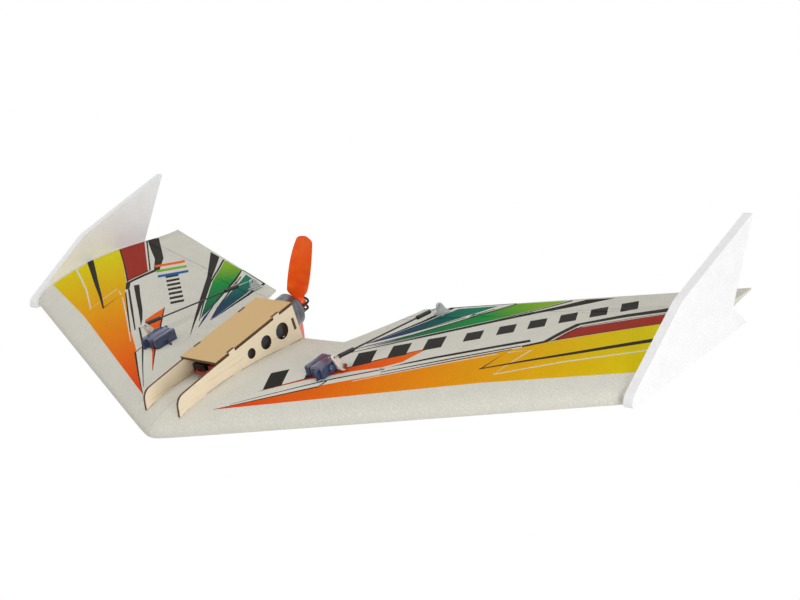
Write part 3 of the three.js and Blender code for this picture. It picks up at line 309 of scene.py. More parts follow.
PATTERN = [
    ("sun", [(37, 31.5), (100, 63), (200, 113), (291, 153), (292, 232), (214, 172), (201, 163), (127, 101),
             (95.5, 80), (94, 75.5)]),
    ("foam", stripe([(113, 88), (150, 117), (190, 147)], [0.6, 1.2, 0.9])),
    ("foam", stripe([(196, 151), (210, 158), (203.5, 123.5), (240, 149.5), (292, 181)],
                    [1.2, 1.3, 1.4, 1.3, 1.6])),
    ("foam", [(55, 47), (94.5, 80.5), (127, 106), (200, 165), (203, 161), (127, 101), (95, 78)]),
    ("black", stripe([(36, 31), (60, 49), (93.5, 75.5), (94.5, 82.5), (90, 82)], [0.4, 1.0, 1.5, 1.5, 0.5])),
    ("black", stripe([(44, 39), (70, 62), (97, 86.5), (125, 108)], [0.4, 0.9, 1.6, 1.5])),
    ("black", stripe([(121, 107), (150, 131.5), (180, 155), (200, 171)], [0.8, 3.2, 3.9, 4.6])),
    ("foam", stripe([(128, 108), (160, 133.4), (199, 164.8)], [1.0, 1.2, 1.4])),
    ("black", stripe([(125, 103.5), (160, 131), (199, 161.6)], [1.0, 1.8, 1.7])),
    ("black", stripe([(127, 100.2), (160, 126.6), (196, 155.6), (191.2, 127)], [0.8, 1.3, 1.4, 1.3])),
    ("black", stripe([(190.2, 126.2), (215, 144), (240, 161), (283, 191), (294, 198.6)],
                     [1.2, 2.4, 3.6, 5.4, 5.8])),
    ("red", [(217, 198.5), (292, 259.5), (292, 231.5), (215, 173.5)]),
    ("black", stripe([(292, 231), (250, 201), (213, 172.5), (203, 166)], [1.2, 1.1, 1.3, 1.0])),
    ("foam", [(214, 172.5), (217.5, 199), (292, 260), (292, 268), (212, 204), (208.5, 172)]),
    ("black", stripe([(292, 262.4), (250, 228), (219.6, 203), (217, 176)], [1.3, 1.2, 1.3, 1.0])),
    ("black", stripe([(293, 270.5), (261, 246.5), (238, 229.5), (214.5, 206), (211.5, 172), (200, 161)],
                     [10.5, 9.0, 7.4, 5.2, 4.2, 3.2])),
    ("orange", [(55, 58), (78, 79), (104, 99), (121, 109), (131, 120), (135, 143)]),
    ("black", stripe([(54, 57.5), (80, 84), (110, 117), (135.5, 144)], [0.4, 1.2, 1.4, 0.8])),
    ("foam", stripe([(137, 144), (133, 119), (121, 106)], [0.6, 1.4, 1.0])),
    ("black", [(66, 106), (100, 148), (150, 208), (189, 255), (208, 262.5), (160, 213), (122, 169)]),
    ("foam", stripe([(96, 146), (140, 199), (184, 253.5)], [0.6, 2.2, 3.2])),
    ("leaf", [(88, 138), (112, 166), (146, 206), (177, 250), (143, 236.5), (124, 206), (106, 174)]),
    ("black", stripe([(86, 135), (112, 163.5), (146, 203.5), (179.5, 251)], [0.5, 1.3, 1.6, 1.9])),
    ("black", stripe([(93, 147), (112, 182), (128, 213), (142, 236)], [0.4, 1.5, 2.6, 1.4])),
    ("sea", [(80, 142), (92, 158), (106, 183), (130, 229), (103, 217), (96, 196), (88, 168)]),
    ("navy", stripe([(76, 125), (88, 143), (101, 164)], [0.6, 2.2, 0.5])),
    ("black", stripe([(80, 141), (95, 163), (113, 193), (131, 224)], [0.4, 1.1, 1.4, 1.2])),
    ("black", stripe([(79, 140), (87, 170), (94, 200), (97.5, 219)], [0.6, 2.2, 3.6, 3.8])),
    ("black", stripe([(97, 217.6), (118, 226.5), (141, 236.4)], [1.2, 1.0, 1.0])),
]
LEFT_BARS = [("black", bar(x, 1.02 * x + 3, 13.0, 23.0)) for x in (56, 76, 99, 116, 133)] + [
    ("black", bar(x, 1.02 * x + 4, 12.0, 19.0)) for x in (152, 168, 183, 198, 213, 228)]
RIGHT_BARS = [("black", bar(x, 0.8 * x + 42, 6.0, 11.0)) for x in range(136, 192, 9)] + [
    (ink, bar(x, 0.75 * x + 44, 7.0, 26.0)) for ink, x in (("blue", 197), ("leaf", 209), ("orange", 221))]
print("outlines:", len(PATTERN) + len(LEFT_BARS) + len(RIGHT_BARS))


# %% [markdown]
# ## Skinning the foam
# A regular grid would leave the stripes with saw teeth. Instead the outlines themselves become edges of the
# skin: a constrained Delaunay triangulation takes the panel's outline, the pattern and a scatter of grid
# points, and gives back triangles that know which outlines they lie in. The last outline wins, as with coats
# of ink. The plan is then lifted onto the section formula, and a wall joins the upper skin to the lower one.

# %% Skin builder
def hinge_y(x):
    """Hinge line of the elevon, straight in plan."""
    return 263.27 - 0.323687 * (293.5 - x)


CUT_Y = 141.0
CUT_SLOPE = (trailing_y(76.5) - CUT_Y) / (76.5 - 58.5)
HINGE_INNER = (263.27 - 0.323687 * 293.5 - CUT_Y + CUT_SLOPE * 58.5) / (CUT_SLOPE - 0.323687)


def divided(corners, step):
    """The outline with every edge cut into pieces no longer than step."""
    rows = []
    for a, b in zip(corners, np.roll(corners, -1, axis=0)):
        count = max(1, int(np.ceil(np.linalg.norm(b - a) / step)))
        share = np.arange(count)[:, None] / count
        rows.append(a + (b - a) * share)
    return np.concatenate(rows)


def chord_grid(x_values, power=2.2, rows=30):
    """Skin points bunched towards the blunt nose: chord shares (j / rows)^power at each station."""
    u = (np.arange(1, rows) / rows) ** power
    x, u = np.meshgrid(x_values, u)
    return np.stack([x.ravel(), (leading_y(x) + u * (trailing_y(x) - leading_y(x))).ravel()], 1)


def unrolled(points):
    """Plan to a stretched sheet: y becomes 200 u^(1/2.2), which gives the blunt nose the room it needs."""
    points = np.asarray(points, float)
    return np.column_stack([points[:, 0], 200 * chord_share(points[:, 0], points[:, 1]) ** (1 / 2.2)])


def rolled(points):
    """The way back: u = (w / 200)^2.2, then y from the share of the chord."""
    x, u = points[:, 0], np.clip(points[:, 1] / 200, 0, 1) ** 2.2
    return np.column_stack([x, leading_y(x) + u * (trailing_y(x) - leading_y(x))])


def inside(outline, points):
    """Which points lie inside an outline: a ray to the right crosses its edges an odd number of times."""
    a, b = np.asarray(outline, float), np.roll(np.asarray(outline, float), -1, axis=0)
    y = points[:, 1:2]
    crosses = (a[:, 1] > y) != (b[:, 1] > y)
    slope = (b[:, 0] - a[:, 0]) / np.where(b[:, 1] == a[:, 1], 1e-9, b[:, 1] - a[:, 1])
    left = points[:, :1] < a[:, 0] + (y - a[:, 1]) * slope
    return (crosses & left).sum(1) % 2 == 1


def clear_of(outline, points, margin):
    """Which points lie further than the margin from every edge of an outline."""
    a = np.asarray(outline, float)
    run = np.roll(a, -1, axis=0) - a
    offset = points[:, None, :] - a
    share = np.clip((offset * run).sum(2) / np.maximum((run ** 2).sum(1), 1e-9), 0, 1)
    return np.linalg.norm(offset - share[..., None] * run, axis=2).min(1) > margin


def triangulated(outline, pattern, loose):
    """Triangles of the unrolled sheet inside the outline, and the number of each one's top ink, or -1."""
    near = [points for _, points in pattern if np.any(inside(outline, np.asarray(points, float)))
            or np.any(inside(points, np.asarray(outline, float)))]
    loops = [unrolled(outline)] + [unrolled(divided(np.asarray(points, float), 6.0)) for points in near]
    sheet = unrolled(loose[inside(outline, loose)])
    sheet = sheet[clear_of(loops[0], sheet, 0.8)]
    starts = np.cumsum([0] + [len(loop) for loop in loops])
    edges = [(a + i, a + (i + 1) % len(loop)) for a, loop in zip(starts, loops) for i in range(len(loop))]
    points = np.concatenate(loops + [sheet])
    flat, _, faces, _, _, _ = delaunay_2d_cdt([Vector(p) for p in points], edges, [], 0, 1e-4)
    plan, faces = rolled(np.array([tuple(p) for p in flat])), np.array(faces)
    middle = plan[faces].mean(1)
    faces, middle = faces[inside(outline, middle)], middle[inside(outline, middle)]
    owner = np.full(len(faces), -1)
    for number, (_, points) in enumerate(pattern):
        owner[inside(points, middle)] = number
    used, index = np.unique(faces, return_inverse=True)
    return plan[used], index.reshape(-1, 3), owner


def mesh_object(name, vertices, faces, materials, face_materials=None, smooth=True):
    """A mesh from whole arrays, in metres, with its material slots and the slot of each face."""
    mesh = bpy.data.meshes.new(name)
    mesh.from_pydata(np.asarray(vertices, float).tolist(), [], np.asarray(faces).tolist())
    for item in materials:
        mesh.materials.append(item)
    if face_materials is not None:
        mesh.polygons.foreach_set("material_index", np.asarray(face_materials, np.int32))
    mesh.polygons.foreach_set("use_smooth", np.full(len(mesh.polygons), smooth))
    mesh.update()
    made = bpy.data.objects.new(name, mesh)
    scene.collection.objects.link(made)
    return made


def to_model(points):
    """Drawing frame in millimetres to model frame in metres."""
    return (np.asarray(points, float) - (0, SPAR_Y, 0)) / 1000


def skinned(name, side, upper, lower, pattern, loose):
    """Closed foam body: printed upper skin, plain lower skin, and a wall between their matching outlines."""
    ink_names = list(INKS)
    plan, tops, owner = triangulated(upper, pattern, loose)
    slots = np.array([ink_names.index(n) for n, _ in pattern] + [0])
    skin = np.column_stack([plan, top_z(plan[:, 0], plan[:, 1])])
    under_plan, unders, _ = triangulated(lower, [], loose)
    under = np.column_stack([under_plan, bottom_z(under_plan[:, 0], under_plan[:, 1])])
    rim_top = np.column_stack([upper, top_z(upper[:, 0], upper[:, 1])])
    rim_low = np.column_stack([lower, bottom_z(lower[:, 0], lower[:, 1])])
    n, a, b = len(upper), len(skin), len(skin) + len(under)
    i = np.arange(n)
    j = (i + 1) % n
    wall = np.concatenate([np.stack([b + i, b + n + j, b + j], 1),
                           np.stack([b + i, b + n + i, b + n + j], 1)])
    points = np.concatenate([skin, under, rim_top, rim_low]) * (side, 1, 1)
    faces = np.concatenate([tops, unders[:, ::-1] + a, wall])
    if side < 0:
        faces = faces[:, ::-1]
    ink = np.concatenate([slots[owner], np.zeros(len(unders) + len(wall), int)])
    made = mesh_object(name, to_model(points), faces, [INKS[k] for k in ink_names], ink)
    flat = np.arange(len(faces)) < len(tops) + len(unders)
    made.data.polygons.foreach_set("use_smooth", flat)
    return made


# %% [markdown]
# ## Wing panels and elevons
# Each panel runs from the centre seam to the tip fin and from the nose to the hinge line, with the propeller
# cut-out taken out of its rear inner corner. Its elevon is a tapered wedge with a bevelled front. The film
# crosses the hinge in one piece and is the hinge: here a narrow strip laid along the hinge line.

# %% Panels and elevons
TIP = 293.2
EDGE_STEP = 5.0        # longest straight piece of an outline
NOSE_X = np.concatenate([[0.15, 0.8, 2, 3.5, 5.5, 8, 12], np.linspace(18, TIP, 48)])
GRID = chord_grid(NOSE_X[1:-1])


def panel_outline():
    """Leading edge from the centre outwards, the tip, the hinge line, the cut-out, and the centre seam."""
    leading = np.column_stack([NOSE_X, leading_y(NOSE_X)])
    tip_u = (np.arange(1, 26) / 26) ** 2.2
    tip_end = chord_share(TIP, hinge_y(TIP))
    tip_y = leading_y(TIP) + tip_u * tip_end * (trailing_y(TIP) - leading_y(TIP))
    tip = np.column_stack([np.full(25, TIP), tip_y])
    rear = np.array([(TIP, hinge_y(TIP)), (HINGE_INNER, hinge_y(HINGE_INNER)), (58.5, CUT_Y),
                     (0.15, CUT_Y)])
    closing_points = int(np.ceil(np.linalg.norm(rear[3] - rear[0]) / EDGE_STEP))
    rear = divided(rear, EDGE_STEP)[:-closing_points]
    seam_y = leading_y(0.15) + tip_u[::-1] * (CUT_Y - leading_y(0.15))
    seam = np.column_stack([np.full(25, 0.15), seam_y])
    return np.concatenate([leading, tip, rear, seam])


PANEL = panel_outline()
PANEL_LOW = PANEL.copy()          # the rear wall leans in 1 mm, to let the horn's back plate swing past
on_hinge = (np.abs(PANEL[:, 1] - hinge_y(PANEL[:, 0])) < 1e-6) & (PANEL[:, 0] < TIP - 1)
PANEL_LOW[on_hinge, 1] -= 1.0
for side, label, bars in ((1, "left", LEFT_BARS), (-1, "right", RIGHT_BARS)):
    panel = skinned(f"foam_panel_{label}", side, PANEL, PANEL_LOW, PATTERN + bars, GRID)
    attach(panel, "airframe")
    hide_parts(f"wing_panel_{label}")
    print(panel.name, len(panel.data.polygons), "faces")

# %% Elevons
END = 292.5
BEVEL = math.tan(math.radians(34))


def elevon_outlines():
    """Upper outline, and the lower one whose front edge is moved back by the bevel."""
    inner_x = HINGE_INNER + 0.4 / CUT_SLOPE
    corners = np.array([(inner_x, hinge_y(inner_x) + 0.4), (END, hinge_y(END) + 0.4),
                        (END, trailing_y(END)), (76.5, trailing_y(76.5))])
    upper = divided(corners, EDGE_STEP)
    count = int(np.ceil(np.linalg.norm(corners[1] - corners[0]) / EDGE_STEP))
    back_step = (top_z(upper[:, 0], upper[:, 1]) - bottom_z(upper[:, 0], upper[:, 1])) * BEVEL
    lower = upper.copy()
    lower[:count + 1, 1] += back_step[:count + 1]
    lower[0, 0] += back_step[0] / CUT_SLOPE
    return upper, lower


ELEVON_TOP, ELEVON_LOW = elevon_outlines()
for side, label, bars in ((1, "left", LEFT_BARS), (-1, "right", RIGHT_BARS)):
    elevon = skinned(f"foam_elevon_{label}", side, ELEVON_TOP, ELEVON_LOW, PATTERN + bars, GRID)
    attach(elevon, f"elevon_{label}_body")
    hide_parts(f"elevon_{label}")

# %% Hinge film
FILM = 0.16


def film_outline(half):
    """A strip that follows the hinge line, half a width to each side of it."""
    x = np.linspace(HINGE_INNER + 1.2, END - 0.3, 60)
    return np.concatenate([np.column_stack([x, hinge_y(x) - half]),
                           np.column_stack([x, hinge_y(x) + 0.4 + half])[::-1]])


for side, label, bars in ((1, "left", LEFT_BARS), (-1, "right", RIGHT_BARS)):
    ink_names = list(INKS)
    strip = film_outline(3.0)
    rows = np.concatenate([np.column_stack([NOSE_X, hinge_y(NOSE_X) + d])
                           for d in (-1.6, -0.6, 0.2, 1.0, 2.0)])
    plan, triangles, owner = triangulated(strip, PATTERN + bars, rows)
    height = top_z(plan[:, 0], plan[:, 1]) + FILM
    inks = np.array([ink_names.index(n) for n, _ in PATTERN + bars] + [0])[owner]
    points = np.column_stack([plan, height]) * (side, 1, 1)
    film = mesh_object(f"hinge_film_{label}", to_model(points), triangles[:, ::side],
                       [INKS[k] for k in ink_names], inks)
    wall = film.modifiers.new("film_thickness", "SOLIDIFY")
    wall.thickness = 0.00010
    wall.offset = -1.0
    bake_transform(film)

# %% [markdown]
# ## Tip fins
# The fins are cut from white foam sheet with a wire, so their faces are smoother than the moulded wing and
# only the beads show. The solid fins have the right outline and rounded front, and get that finish alone.

# %% Finishes on the solid pieces
def finish(material, *names):
    """Gives solid pieces of the frame a new material in all of their slots."""
    for name in names:
        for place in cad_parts[name].material_slots:
            place.material = material


finish(FIN_FOAM, "fin_left", "fin_right")


# %% [markdown]
# ## Birch plywood
# The pod is laser-cut from 2 mm birch plywood. Its face has fine straight grain and short pores, and every
# cut edge is scorched brown. The shader tells face from edge by the direction the surface looks in, in the
# object's own space, so a tab, a slot and a round hole are all scorched without being drawn one by one.

# %% Plywood
def plywood(name, light, dark, face, along, grain_mm=0.5):
    """Grain is noise squeezed to 1/40 along the fibres; where the normal leaves the face, wood is burnt."""
    made, tree, shader = new_material(name, 0.62, ior=1.5)
    source = add(tree, "ShaderNodeTexCoord").outputs
    scale = [1000 / grain_mm / (40 if i == along else 1) for i in range(3)]
    fibres = add(tree, "ShaderNodeMapping", {"Vector": source["Object"], "Scale": scale})
    grain = add(tree, "ShaderNodeTexNoise", {"Vector": fibres.outputs[0], "Scale": 0.35, "Detail": 4.0,
                                             "Roughness": 0.65})
    broad = add(tree, "ShaderNodeTexNoise", {"Vector": source["Object"], "Scale": 60.0, "Detail": 2.0})
    blend = add(tree, "ShaderNodeMath", {0: broad.outputs["Fac"], 1: 0.45, 2: grain.outputs["Fac"]},
                operation="MULTIPLY_ADD")
    wood = add(tree, "ShaderNodeValToRGB", {0: blend.outputs[0]})
    ramp_stops(wood, [(0.45, dark), (0.62, light), (0.95, light)])
    turned = add(tree, "ShaderNodeVectorMath", {0: source["Normal"], 1: face}, operation="DOT_PRODUCT")
    flat = add(tree, "ShaderNodeMath", {0: turned.outputs["Value"]}, operation="ABSOLUTE")
    edge = add(tree, "ShaderNodeMath", {0: flat.outputs[0], 1: 0.6}, operation="LESS_THAN")
    char = add(tree, "ShaderNodeTexNoise", {"Vector": source["Object"], "Scale": 900.0, "Detail": 3.0})
    burnt = add(tree, "ShaderNodeValToRGB", {0: char.outputs["Fac"]})
    ramp_stops(burnt, [(0.35, "#2f1a0a"), (0.6, "#5d3a1a"), (0.75, "#8a6234")])
    skin = add(tree, "ShaderNodeMix", {"Factor": edge.outputs[0], 6: wood.outputs[0], 7: burnt.outputs[0]},
               data_type="RGBA")
    tree.links.new(skin.outputs[2], shader.inputs["Base Color"])
    bump = add(tree, "ShaderNodeBump", {"Height": grain.outputs["Fac"], "Strength": 0.25, "Distance": 0.0002})
    tree.links.new(bump.outputs["Normal"], shader.inputs["Normal"])
    return made


lid_lean = math.radians(4.9)
lid_normal = (0, -math.sin(lid_lean), math.cos(lid_lean))
finish(plywood("birch_plywood_sides", "#ecdcbf", "#d3bb92", (1, 0, 0), 1), "pod_side_left", "pod_side_right")
finish(plywood("birch_plywood_cover", "#d4b27a", "#bd985f", lid_normal, 1), "pod_cover")
finish(plywood("birch_plywood_firewall", "#e2cda5", "#c6a97b", (0, 1, 0), 0), "firewall")


# %% [markdown]
# ## Plain moulded, drawn and turned parts
# Nylon, rubber, wire and turned metal differ mostly in gloss and in the scale of their grain. One function
# makes such a finish: a cloudy change of colour and roughness at a given size, and a bump of the same grain,
# stretched along one axis where the part was drawn or turned.

# %% Moulded and metal finishes
def moulded(name, code, other, size_mm, roughness, depth=0.15, metallic=0.0, ior=1.5, stretch=(1, 1, 1),
            **more):
    """Colour and roughness drift between two values over size_mm; stretch squeezes the grain on an axis."""
    made, tree, shader = new_material(name, roughness, metallic, ior, **more)
    source = add(tree, "ShaderNodeTexCoord").outputs["Object"]
    scale = [1000 / size_mm * k for k in stretch]
    pattern = add(tree, "ShaderNodeMapping", {"Vector": source, "Scale": scale})
    noise = add(tree, "ShaderNodeTexNoise", {"Vector": pattern.outputs[0], "Scale": 1.0, "Detail": 4.0})
    band = add(tree, "ShaderNodeValToRGB", {0: noise.outputs["Fac"]})
    ramp_stops(band, [(0.35, code), (0.65, other)])
    tree.links.new(band.outputs[0], shader.inputs["Base Color"])
    gloss = add(tree, "ShaderNodeMapRange", {"Value": noise.outputs["Fac"], "To Min": roughness * 0.8,
                                             "To Max": min(1, roughness * 1.25)})
    tree.links.new(gloss.outputs[0], shader.inputs["Roughness"])
    bump = add(tree, "ShaderNodeBump", {"Height": noise.outputs["Fac"], "Strength": depth, "Distance": 0.0002})
    tree.links.new(bump.outputs["Normal"], shader.inputs["Normal"])
    return made


SIDES = ("left", "right")


def pair(*stems):
    """Names of mirrored pieces: each stem with both sides."""
    return [f"{stem}_{side}" for stem in stems for side in SIDES]


# Drawn spring-steel wire and zinc-plated screws: bright, with fine lines along the wire.
STEEL = moulded("drawn_steel", "#b4b6ba", "#8f9196", 0.4, 0.28, 0.1, metallic=1.0, stretch=(1, 0.05, 1))
# Pultruded carbon rod and strip: near black, satin, fibres running along it.
CARBON = moulded("pultruded_carbon", "#1a1b1e", "#303237", 0.5, 0.42, 0.2, stretch=(1, 0.04, 1))
SPAR_CARBON = moulded("pultruded_carbon_strip", "#1a1b1e", "#303237", 0.5, 0.42, 0.2, stretch=(0.04, 1, 1))
# Heat-shrink tube: dull black polyolefin with a slight wrinkle.
SHRINK = moulded("heat_shrink_tube", "#151515", "#222222", 1.2, 0.5, 0.4)
# Turned and anodised motor can: dark grey satin metal with rings round its axis.
CAN = moulded("turned_aluminium_can", "#7b7d81", "#56585d", 0.5, 0.32, 0.2, metallic=1.0,
              stretch=(0.1, 1, 0.1))
MOUNT = moulded("machined_aluminium", "#a3a5aa", "#85878c", 0.6, 0.38, 0.2, metallic=1.0)
COPPER = moulded("enamelled_copper", "#a35a28", "#7c3d18", 0.5, 0.3, 0.4, metallic=0.8, stretch=(1, 0.3, 1))
BLACK_NYLON = moulded("black_nylon", "#161617", "#242426", 0.8, 0.45, 0.2)
CLEAR_NYLON = moulded("clear_nylon", "#e3e6e5", "#cfd3d2", 1.5, 0.25, 0.12, Transmission_Weight=0.45)
WHITE_NYLON = moulded("natural_nylon", "#ece7d9", "#d9d2c0", 1.2, 0.35, 0.15, Subsurface_Weight=0.1)
RED_PLASTIC = moulded("red_connector_nylon", "#d8381c", "#b82c15", 1.0, 0.4, 0.2)
RUBBER = moulded("black_rubber", "#131313", "#232323", 0.5, 0.75, 0.5)
TAPE = moulded("foam_tape", "#262626", "#3a3a3a", 0.7, 0.9, 0.8)
SILICONE = moulded("red_silicone_lead", "#a8231a", "#c8362a", 1.5, 0.5, 0.25)
WRAP = moulded("dark_battery_wrap", "#26282d", "#363a42", 6.0, 0.35, 0.5)

finish(STEEL, *pair("front_wire", "rear_wire", "mount_screw", "arm_screw"), "motor_shaft")
finish(CARBON, *pair("pushrod"))
finish(SPAR_CARBON, "spar_strip")
finish(SHRINK, *pair("front_sleeve", "rear_sleeve"), "speed_controller")
finish(CAN, "motor_bell", "prop_saver")
finish(MOUNT, "motor_mount")
finish(COPPER, "stator", "motor_lead_a", "motor_lead_b", "motor_lead_c")
finish(BLACK_NYLON, *pair("servo_lead", "servo_shaft"), "receiver", "saver_screw_a", "saver_screw_b")
finish(CLEAR_NYLON, *pair("horn", "horn_plate"))
finish(WHITE_NYLON, *pair("servo_arm"))
finish(RED_PLASTIC, "power_plug")
finish(RUBBER, "o_ring")
finish(TAPE, "battery_tape", "controller_tape", "receiver_tape")
finish(SILICONE, "power_lead", "battery_lead")
finish(WRAP, "battery")


# %% [markdown]
# ## Surfaces on a grid
# The remaining pieces are rounded, moulded shapes. Each is a formula of two parameters, worked out for the
# whole grid at once, and joined into a closed skin by the same small function.

# %% Grid surfaces
def grid_faces(rows, columns, start=0):
    """Quads of a grid whose columns close round on themselves, and its two end caps as single faces."""
    i, j = np.meshgrid(np.arange(rows - 1), np.arange(columns), indexing="ij")
    a, b = i * columns + j, i * columns + (j + 1) % columns
    quads = np.stack([a, b, b + columns, a + columns], -1).reshape(-1, 4) + start
    low = (np.arange(columns)[::-1] + start).tolist()
    high = (np.arange(columns) + (rows - 1) * columns + start).tolist()
    return quads.tolist() + [low, high]


def joined(name, surfaces, material):
    """One object of several closed surfaces, each an array of rows x columns points in metres."""
    vertices, faces, start = [], [], 0
    for surface in surfaces:
        rows, columns = surface.shape[:2]
        vertices.append(surface.reshape(-1, 3))
        faces += grid_faces(rows, columns, start)
        start += rows * columns
    mesh = bpy.data.meshes.new(name)
    mesh.from_pydata(np.concatenate(vertices).tolist(), [], faces)
    mesh.polygons.foreach_set("use_smooth", np.ones(len(mesh.polygons), bool))
    mesh.materials.append(material)
    made = bpy.data.objects.new(name, mesh)
    scene.collection.objects.link(made)
    return made


def facing_out(surface):
    """The surface, or its columns in the other order where its volume would come out negative."""
    rows, columns = surface.shape[:2]
    p = surface - surface.reshape(-1, 3).mean(0)
    a, b, c = p[:-1], np.roll(p, -1, axis=1)[:-1], np.roll(p, -1, axis=1)[1:]
    volume = np.einsum("ijk,ijk->", a, np.cross(b, c))
    return surface if volume > 0 else surface[:, ::-1]


def rounded_block(low, high, radius, steps=5):
    """Box with round edges: the centre plus sign(n) (half - r) plus r n, for n all round a unit sphere."""
    low, high = np.array(low), np.array(high)
    quarter = np.linspace(0, math.pi / 2, steps)
    around = np.concatenate([quarter + k * math.pi / 2 for k in range(4)])
    rise = np.concatenate([quarter - math.pi / 2, quarter])
    column_sign = np.repeat([(1, 1), (-1, 1), (-1, -1), (1, -1)], steps, axis=0)
    row_sign = np.repeat([-1, 1], steps)
    n = np.stack([np.cos(rise)[:, None] * np.cos(around), np.cos(rise)[:, None] * np.sin(around),
                  np.sin(rise)[:, None] * np.ones(4 * steps)], -1)
    sign = np.concatenate([np.broadcast_to(column_sign, (2 * steps, 4 * steps, 2)),
                           np.broadcast_to(row_sign[:, None, None], (2 * steps, 4 * steps, 1))], -1)
    return facing_out((low + high) / 2 + sign * ((high - low) / 2 - radius) + radius * n)


def turned_surface(profile, start, axis, count=40):
    """Profile (distance along, radius) spun about an axis through start."""
    profile = np.array(profile, float)
    axis = np.array(axis, float) / np.linalg.norm(axis)
    side = np.cross(axis, (0.3, 0.2, 1.0))
    side /= np.linalg.norm(side)
    turn = np.linspace(0, 2 * math.pi, count, endpoint=False)
    ring = np.cos(turn)[:, None] * side + np.sin(turn)[:, None] * np.cross(axis, side)
    return facing_out(np.array(start) + profile[:, :1, None] * axis + profile[:, 1:, None] * ring)


# %% [markdown]
# ## Servo cases
# The servos are moulded in tinted, slightly see-through nylon: dark blue with a soft gloss, all edges round.
# The block form in the frame is kept as their size, and the skin is remade with round edges, the split line
# between case and cover, the gear hump under the output shaft and the two ears.

# %% Servos
TINT = moulded("tinted_nylon_case", "#2c3757", "#46557a", 5.0, 0.22, 0.12, ior=1.53, Transmission_Weight=0.18,
               Coat_Weight=0.3)
for side, label in ((1, "left"), (-1, "right")):
    low, high = (np.array(v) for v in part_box(f"servo_cover_{label}"))
    case_low, case_high = (np.array(v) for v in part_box(f"servo_case_{label}"))
    top_x = side * 0.0915
    inner, outer = sorted((side * 0.0803, top_x))
    axis_y, axis_z = (0.0982 - 0.088, 0.0203)
    body = rounded_block((inner, low[1], low[2]), (outer, high[1], high[2]), 0.0012)
    cover = rounded_block(low, high, 0.0010)
    ear_x = sorted((side * 0.0875, side * 0.0889))
    ears = rounded_block((ear_x[0], case_low[1], axis_z - 0.0038),
                         (ear_x[1], case_high[1], axis_z + 0.0038), 0.0006)
    hump_end = 0.95 * (abs(case_high[0] if side > 0 else case_low[0]) - 0.0915)
    hump = turned_surface([(-0.001, 0.0040), (hump_end * 0.75, 0.0040), (hump_end * 0.93, 0.0037),
                           (hump_end, 0.0031)], (top_x, axis_y, axis_z), (side, 0, 0))
    small = turned_surface([(-0.001, 0.0026), (hump_end * 0.7, 0.0026), (hump_end * 0.9, 0.0020)],
                           (top_x, axis_y - 0.0056, axis_z), (side, 0, 0), 28)
    servo = joined(f"servo_shell_{label}", [body, cover, ears, hump, small], TINT)
    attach(servo, "airframe")
    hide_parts(f"servo_case_{label}", f"servo_cover_{label}")
    print(servo.name, [round(v * 1000, 1) for v in case_low], [round(v * 1000, 1) for v in case_high])


# %% [markdown]
# ## Propeller
# A two-bladed, 5 inch push propeller moulded in glossy orange nylon. Each section is a thin cambered leaf,
# widest a quarter of the way out, and turned to the helix angle of a 3 inch pitch. The solid has a dozen
# sections; the eye wants a smooth leaf, so the same formulas are run again on a fine grid.

# %% Propeller
ORANGE = moulded("orange_nylon", "#ff5000", "#ff6400", 9.0, 0.35, 0.08, ior=1.53, Subsurface_Weight=0.12,
                 Subsurface_Radius=(0.003, 0.001, 0.0003), Coat_Weight=0.2)
PITCH, TIP_RADIUS, ROOT_RADIUS = 76.0, 63.5, 3.6


def blade_surface(sign, rows=64, columns=48):
    """Leaf section at radius r: chord turned by atan(pitch / 2 pi r), half a chord times cos, camber and
    thickness times sin; the planform narrows by root(1 - q^2) over the last 7 % of the span."""
    t = np.sin(np.linspace(0, math.pi / 2, rows))[:, None] * 0.998
    turn = np.linspace(0, 2 * math.pi, columns, endpoint=False)[None, :]
    root = np.sin(np.minimum(t / 0.16, 1) * math.pi / 2)
    lead = 2.4 + 7.2 * root - 7.4 * t ** 3
    trail = 1.4 + 3.2 * root * (1 - t) + 12 * t - 4.3 * t ** 2
    radius = ROOT_RADIUS + (TIP_RADIUS - ROOT_RADIUS) * t
    helix = np.minimum(np.arctan(PITCH / (2 * math.pi * radius)), math.radians(40))
    shrink = np.sqrt(1 - (np.maximum(t - 0.93, 0) / 0.07) ** 2)
    middle, half, thick = (trail - lead) / 2, (trail + lead) / 2 * shrink, 2.2 - 1.5 * t
    chord = middle + half * np.cos(turn)
    rise = thick / 2 * np.sin(turn) + thick / 2 * (1 - ((chord - middle) / half) ** 2)
    x = sign * (chord * np.cos(helix) - rise * np.sin(helix))
    y = chord * np.sin(helix) + rise * np.cos(helix)
    return np.stack([x, y, sign * radius + 0 * turn], -1)


def on_shaft(points):
    """Rotor's own frame to the model: turned 23 degrees on the shaft, the shaft raised 4 degrees."""
    spin = np.array(Matrix.Rotation(math.radians(23), 3, "Y"))
    lean = np.array(Matrix.Rotation(math.radians(4), 3, "X"))
    return (points @ (lean @ spin).T + (0, 136.6 - SPAR_Y, 23.5)) / 1000


hub_profile = [(23.62, 0.0), (23.62, 4.7), (24.0, 5.1), (25.9, 5.2), (27.8, 5.1), (28.2, 4.7), (28.2, 0.0)]
hub = turned_surface([(y, max(r, 0.02)) for y, r in hub_profile], (0, 0, 0), (0, 1, 0), 48)
blades = [blade_surface(sign) + (0, 25.9, 0) for sign in (1, -1)]
propeller = joined("moulded_propeller", [facing_out(on_shaft(p)) for p in (hub, *blades)], ORANGE)
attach(propeller, "rotor")
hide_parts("propeller")
print("propeller spans", [round(v * 1000, 1) for v in propeller.dimensions])


# %% [markdown]
# ## Studio
# A pale floor and a white world. What the camera, mirrors and glass see of them is plain white through the
# light path; what lights the object is softer and dimmer. The key comes from the camera's side and low,
# because the wing's top is seen duller than the fins; a wide overhead panel fills the rest.

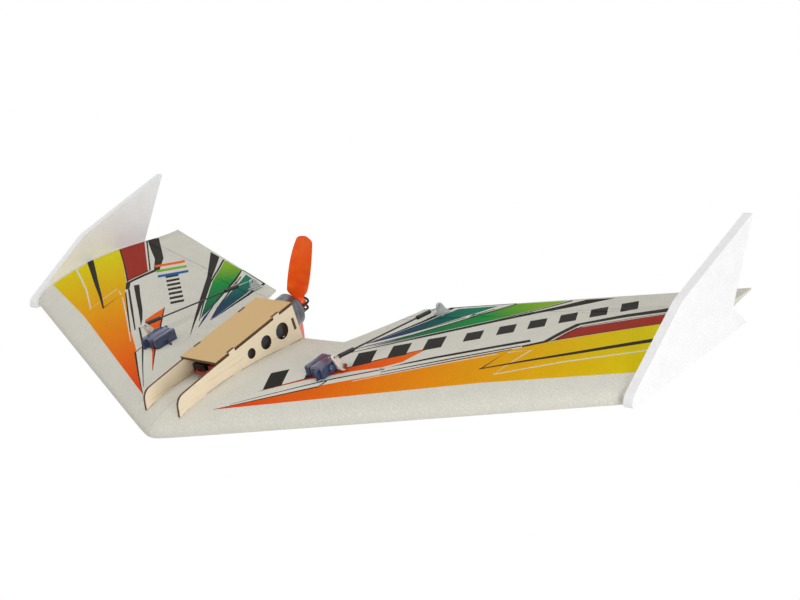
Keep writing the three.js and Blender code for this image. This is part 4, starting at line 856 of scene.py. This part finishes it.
# %% Studio
def lamp(name, place, target, size, power, warmth="#ffffff"):
    """A square soft box at a place, turned towards a target."""
    light = bpy.data.lights.new(name, "AREA")
    light.size = size
    light.energy = power
    light.color = hex_colour(warmth)[:3]
    made = bpy.data.objects.new(name, light)
    made.matrix_world = (Vector(target) - Vector(place)).to_track_quat("-Z", "Y").to_matrix().to_4x4()
    made.matrix_world.translation = place
    scene.collection.objects.link(made)
    return made


def looked_at(tree):
    """1 where the camera, a mirror or glass sees the surface, 0 where it only lights something."""
    rays = add(tree, "ShaderNodeLightPath").outputs
    seen = add(tree, "ShaderNodeMath", {0: rays["Is Camera Ray"], 1: rays["Is Glossy Ray"]},
               operation="MAXIMUM")
    return add(tree, "ShaderNodeMath", {0: seen.outputs[0], 1: rays["Is Transmission Ray"]},
               operation="MAXIMUM")


world = bpy.data.worlds.new("studio_white")
scene.world = world
world.use_nodes = True
tree = world.node_tree
seen = looked_at(tree)
strength = add(tree, "ShaderNodeMath", {0: seen.outputs[0], 1: 0.70, 2: 0.30}, operation="MULTIPLY_ADD")
background = tree.nodes["Background"]
background.inputs["Color"].default_value = (1, 1, 1, 1)
tree.links.new(strength.outputs[0], background.inputs["Strength"])

FLOOR_Z = -0.42
white, tree, shader = new_material("studio_floor_paint", 0.9, Base_Color=hex_colour("#f4f4f4"))
glow = add(tree, "ShaderNodeEmission", {"Color": (1, 1, 1, 1), "Strength": 1.0})
seen = looked_at(tree)
both = add(tree, "ShaderNodeMixShader", {0: seen.outputs[0], 1: shader.outputs[0], 2: glow.outputs[0]})
tree.links.new(both.outputs[0], tree.nodes["Material Output"].inputs["Surface"])
floor_corners = [(x, y, FLOOR_Z) for x, y in ((-6, -6), (6, -6), (6, 6), (-6, 6))]
floor = mesh_object("floor", floor_corners, [(0, 1, 2, 3)], [white], smooth=False)

lamp("key", (2.3, -0.8, 0.34), (0, 0.05, 0.0), 1.2, 30)
lamp("overhead", (0.0, 0.1, 1.7), (0, 0.05, 0), 1.8, 14.5)
lamp("right_fill", (-1.6, -1.0, 0.5), (0, 0.05, 0), 1.4, 7)
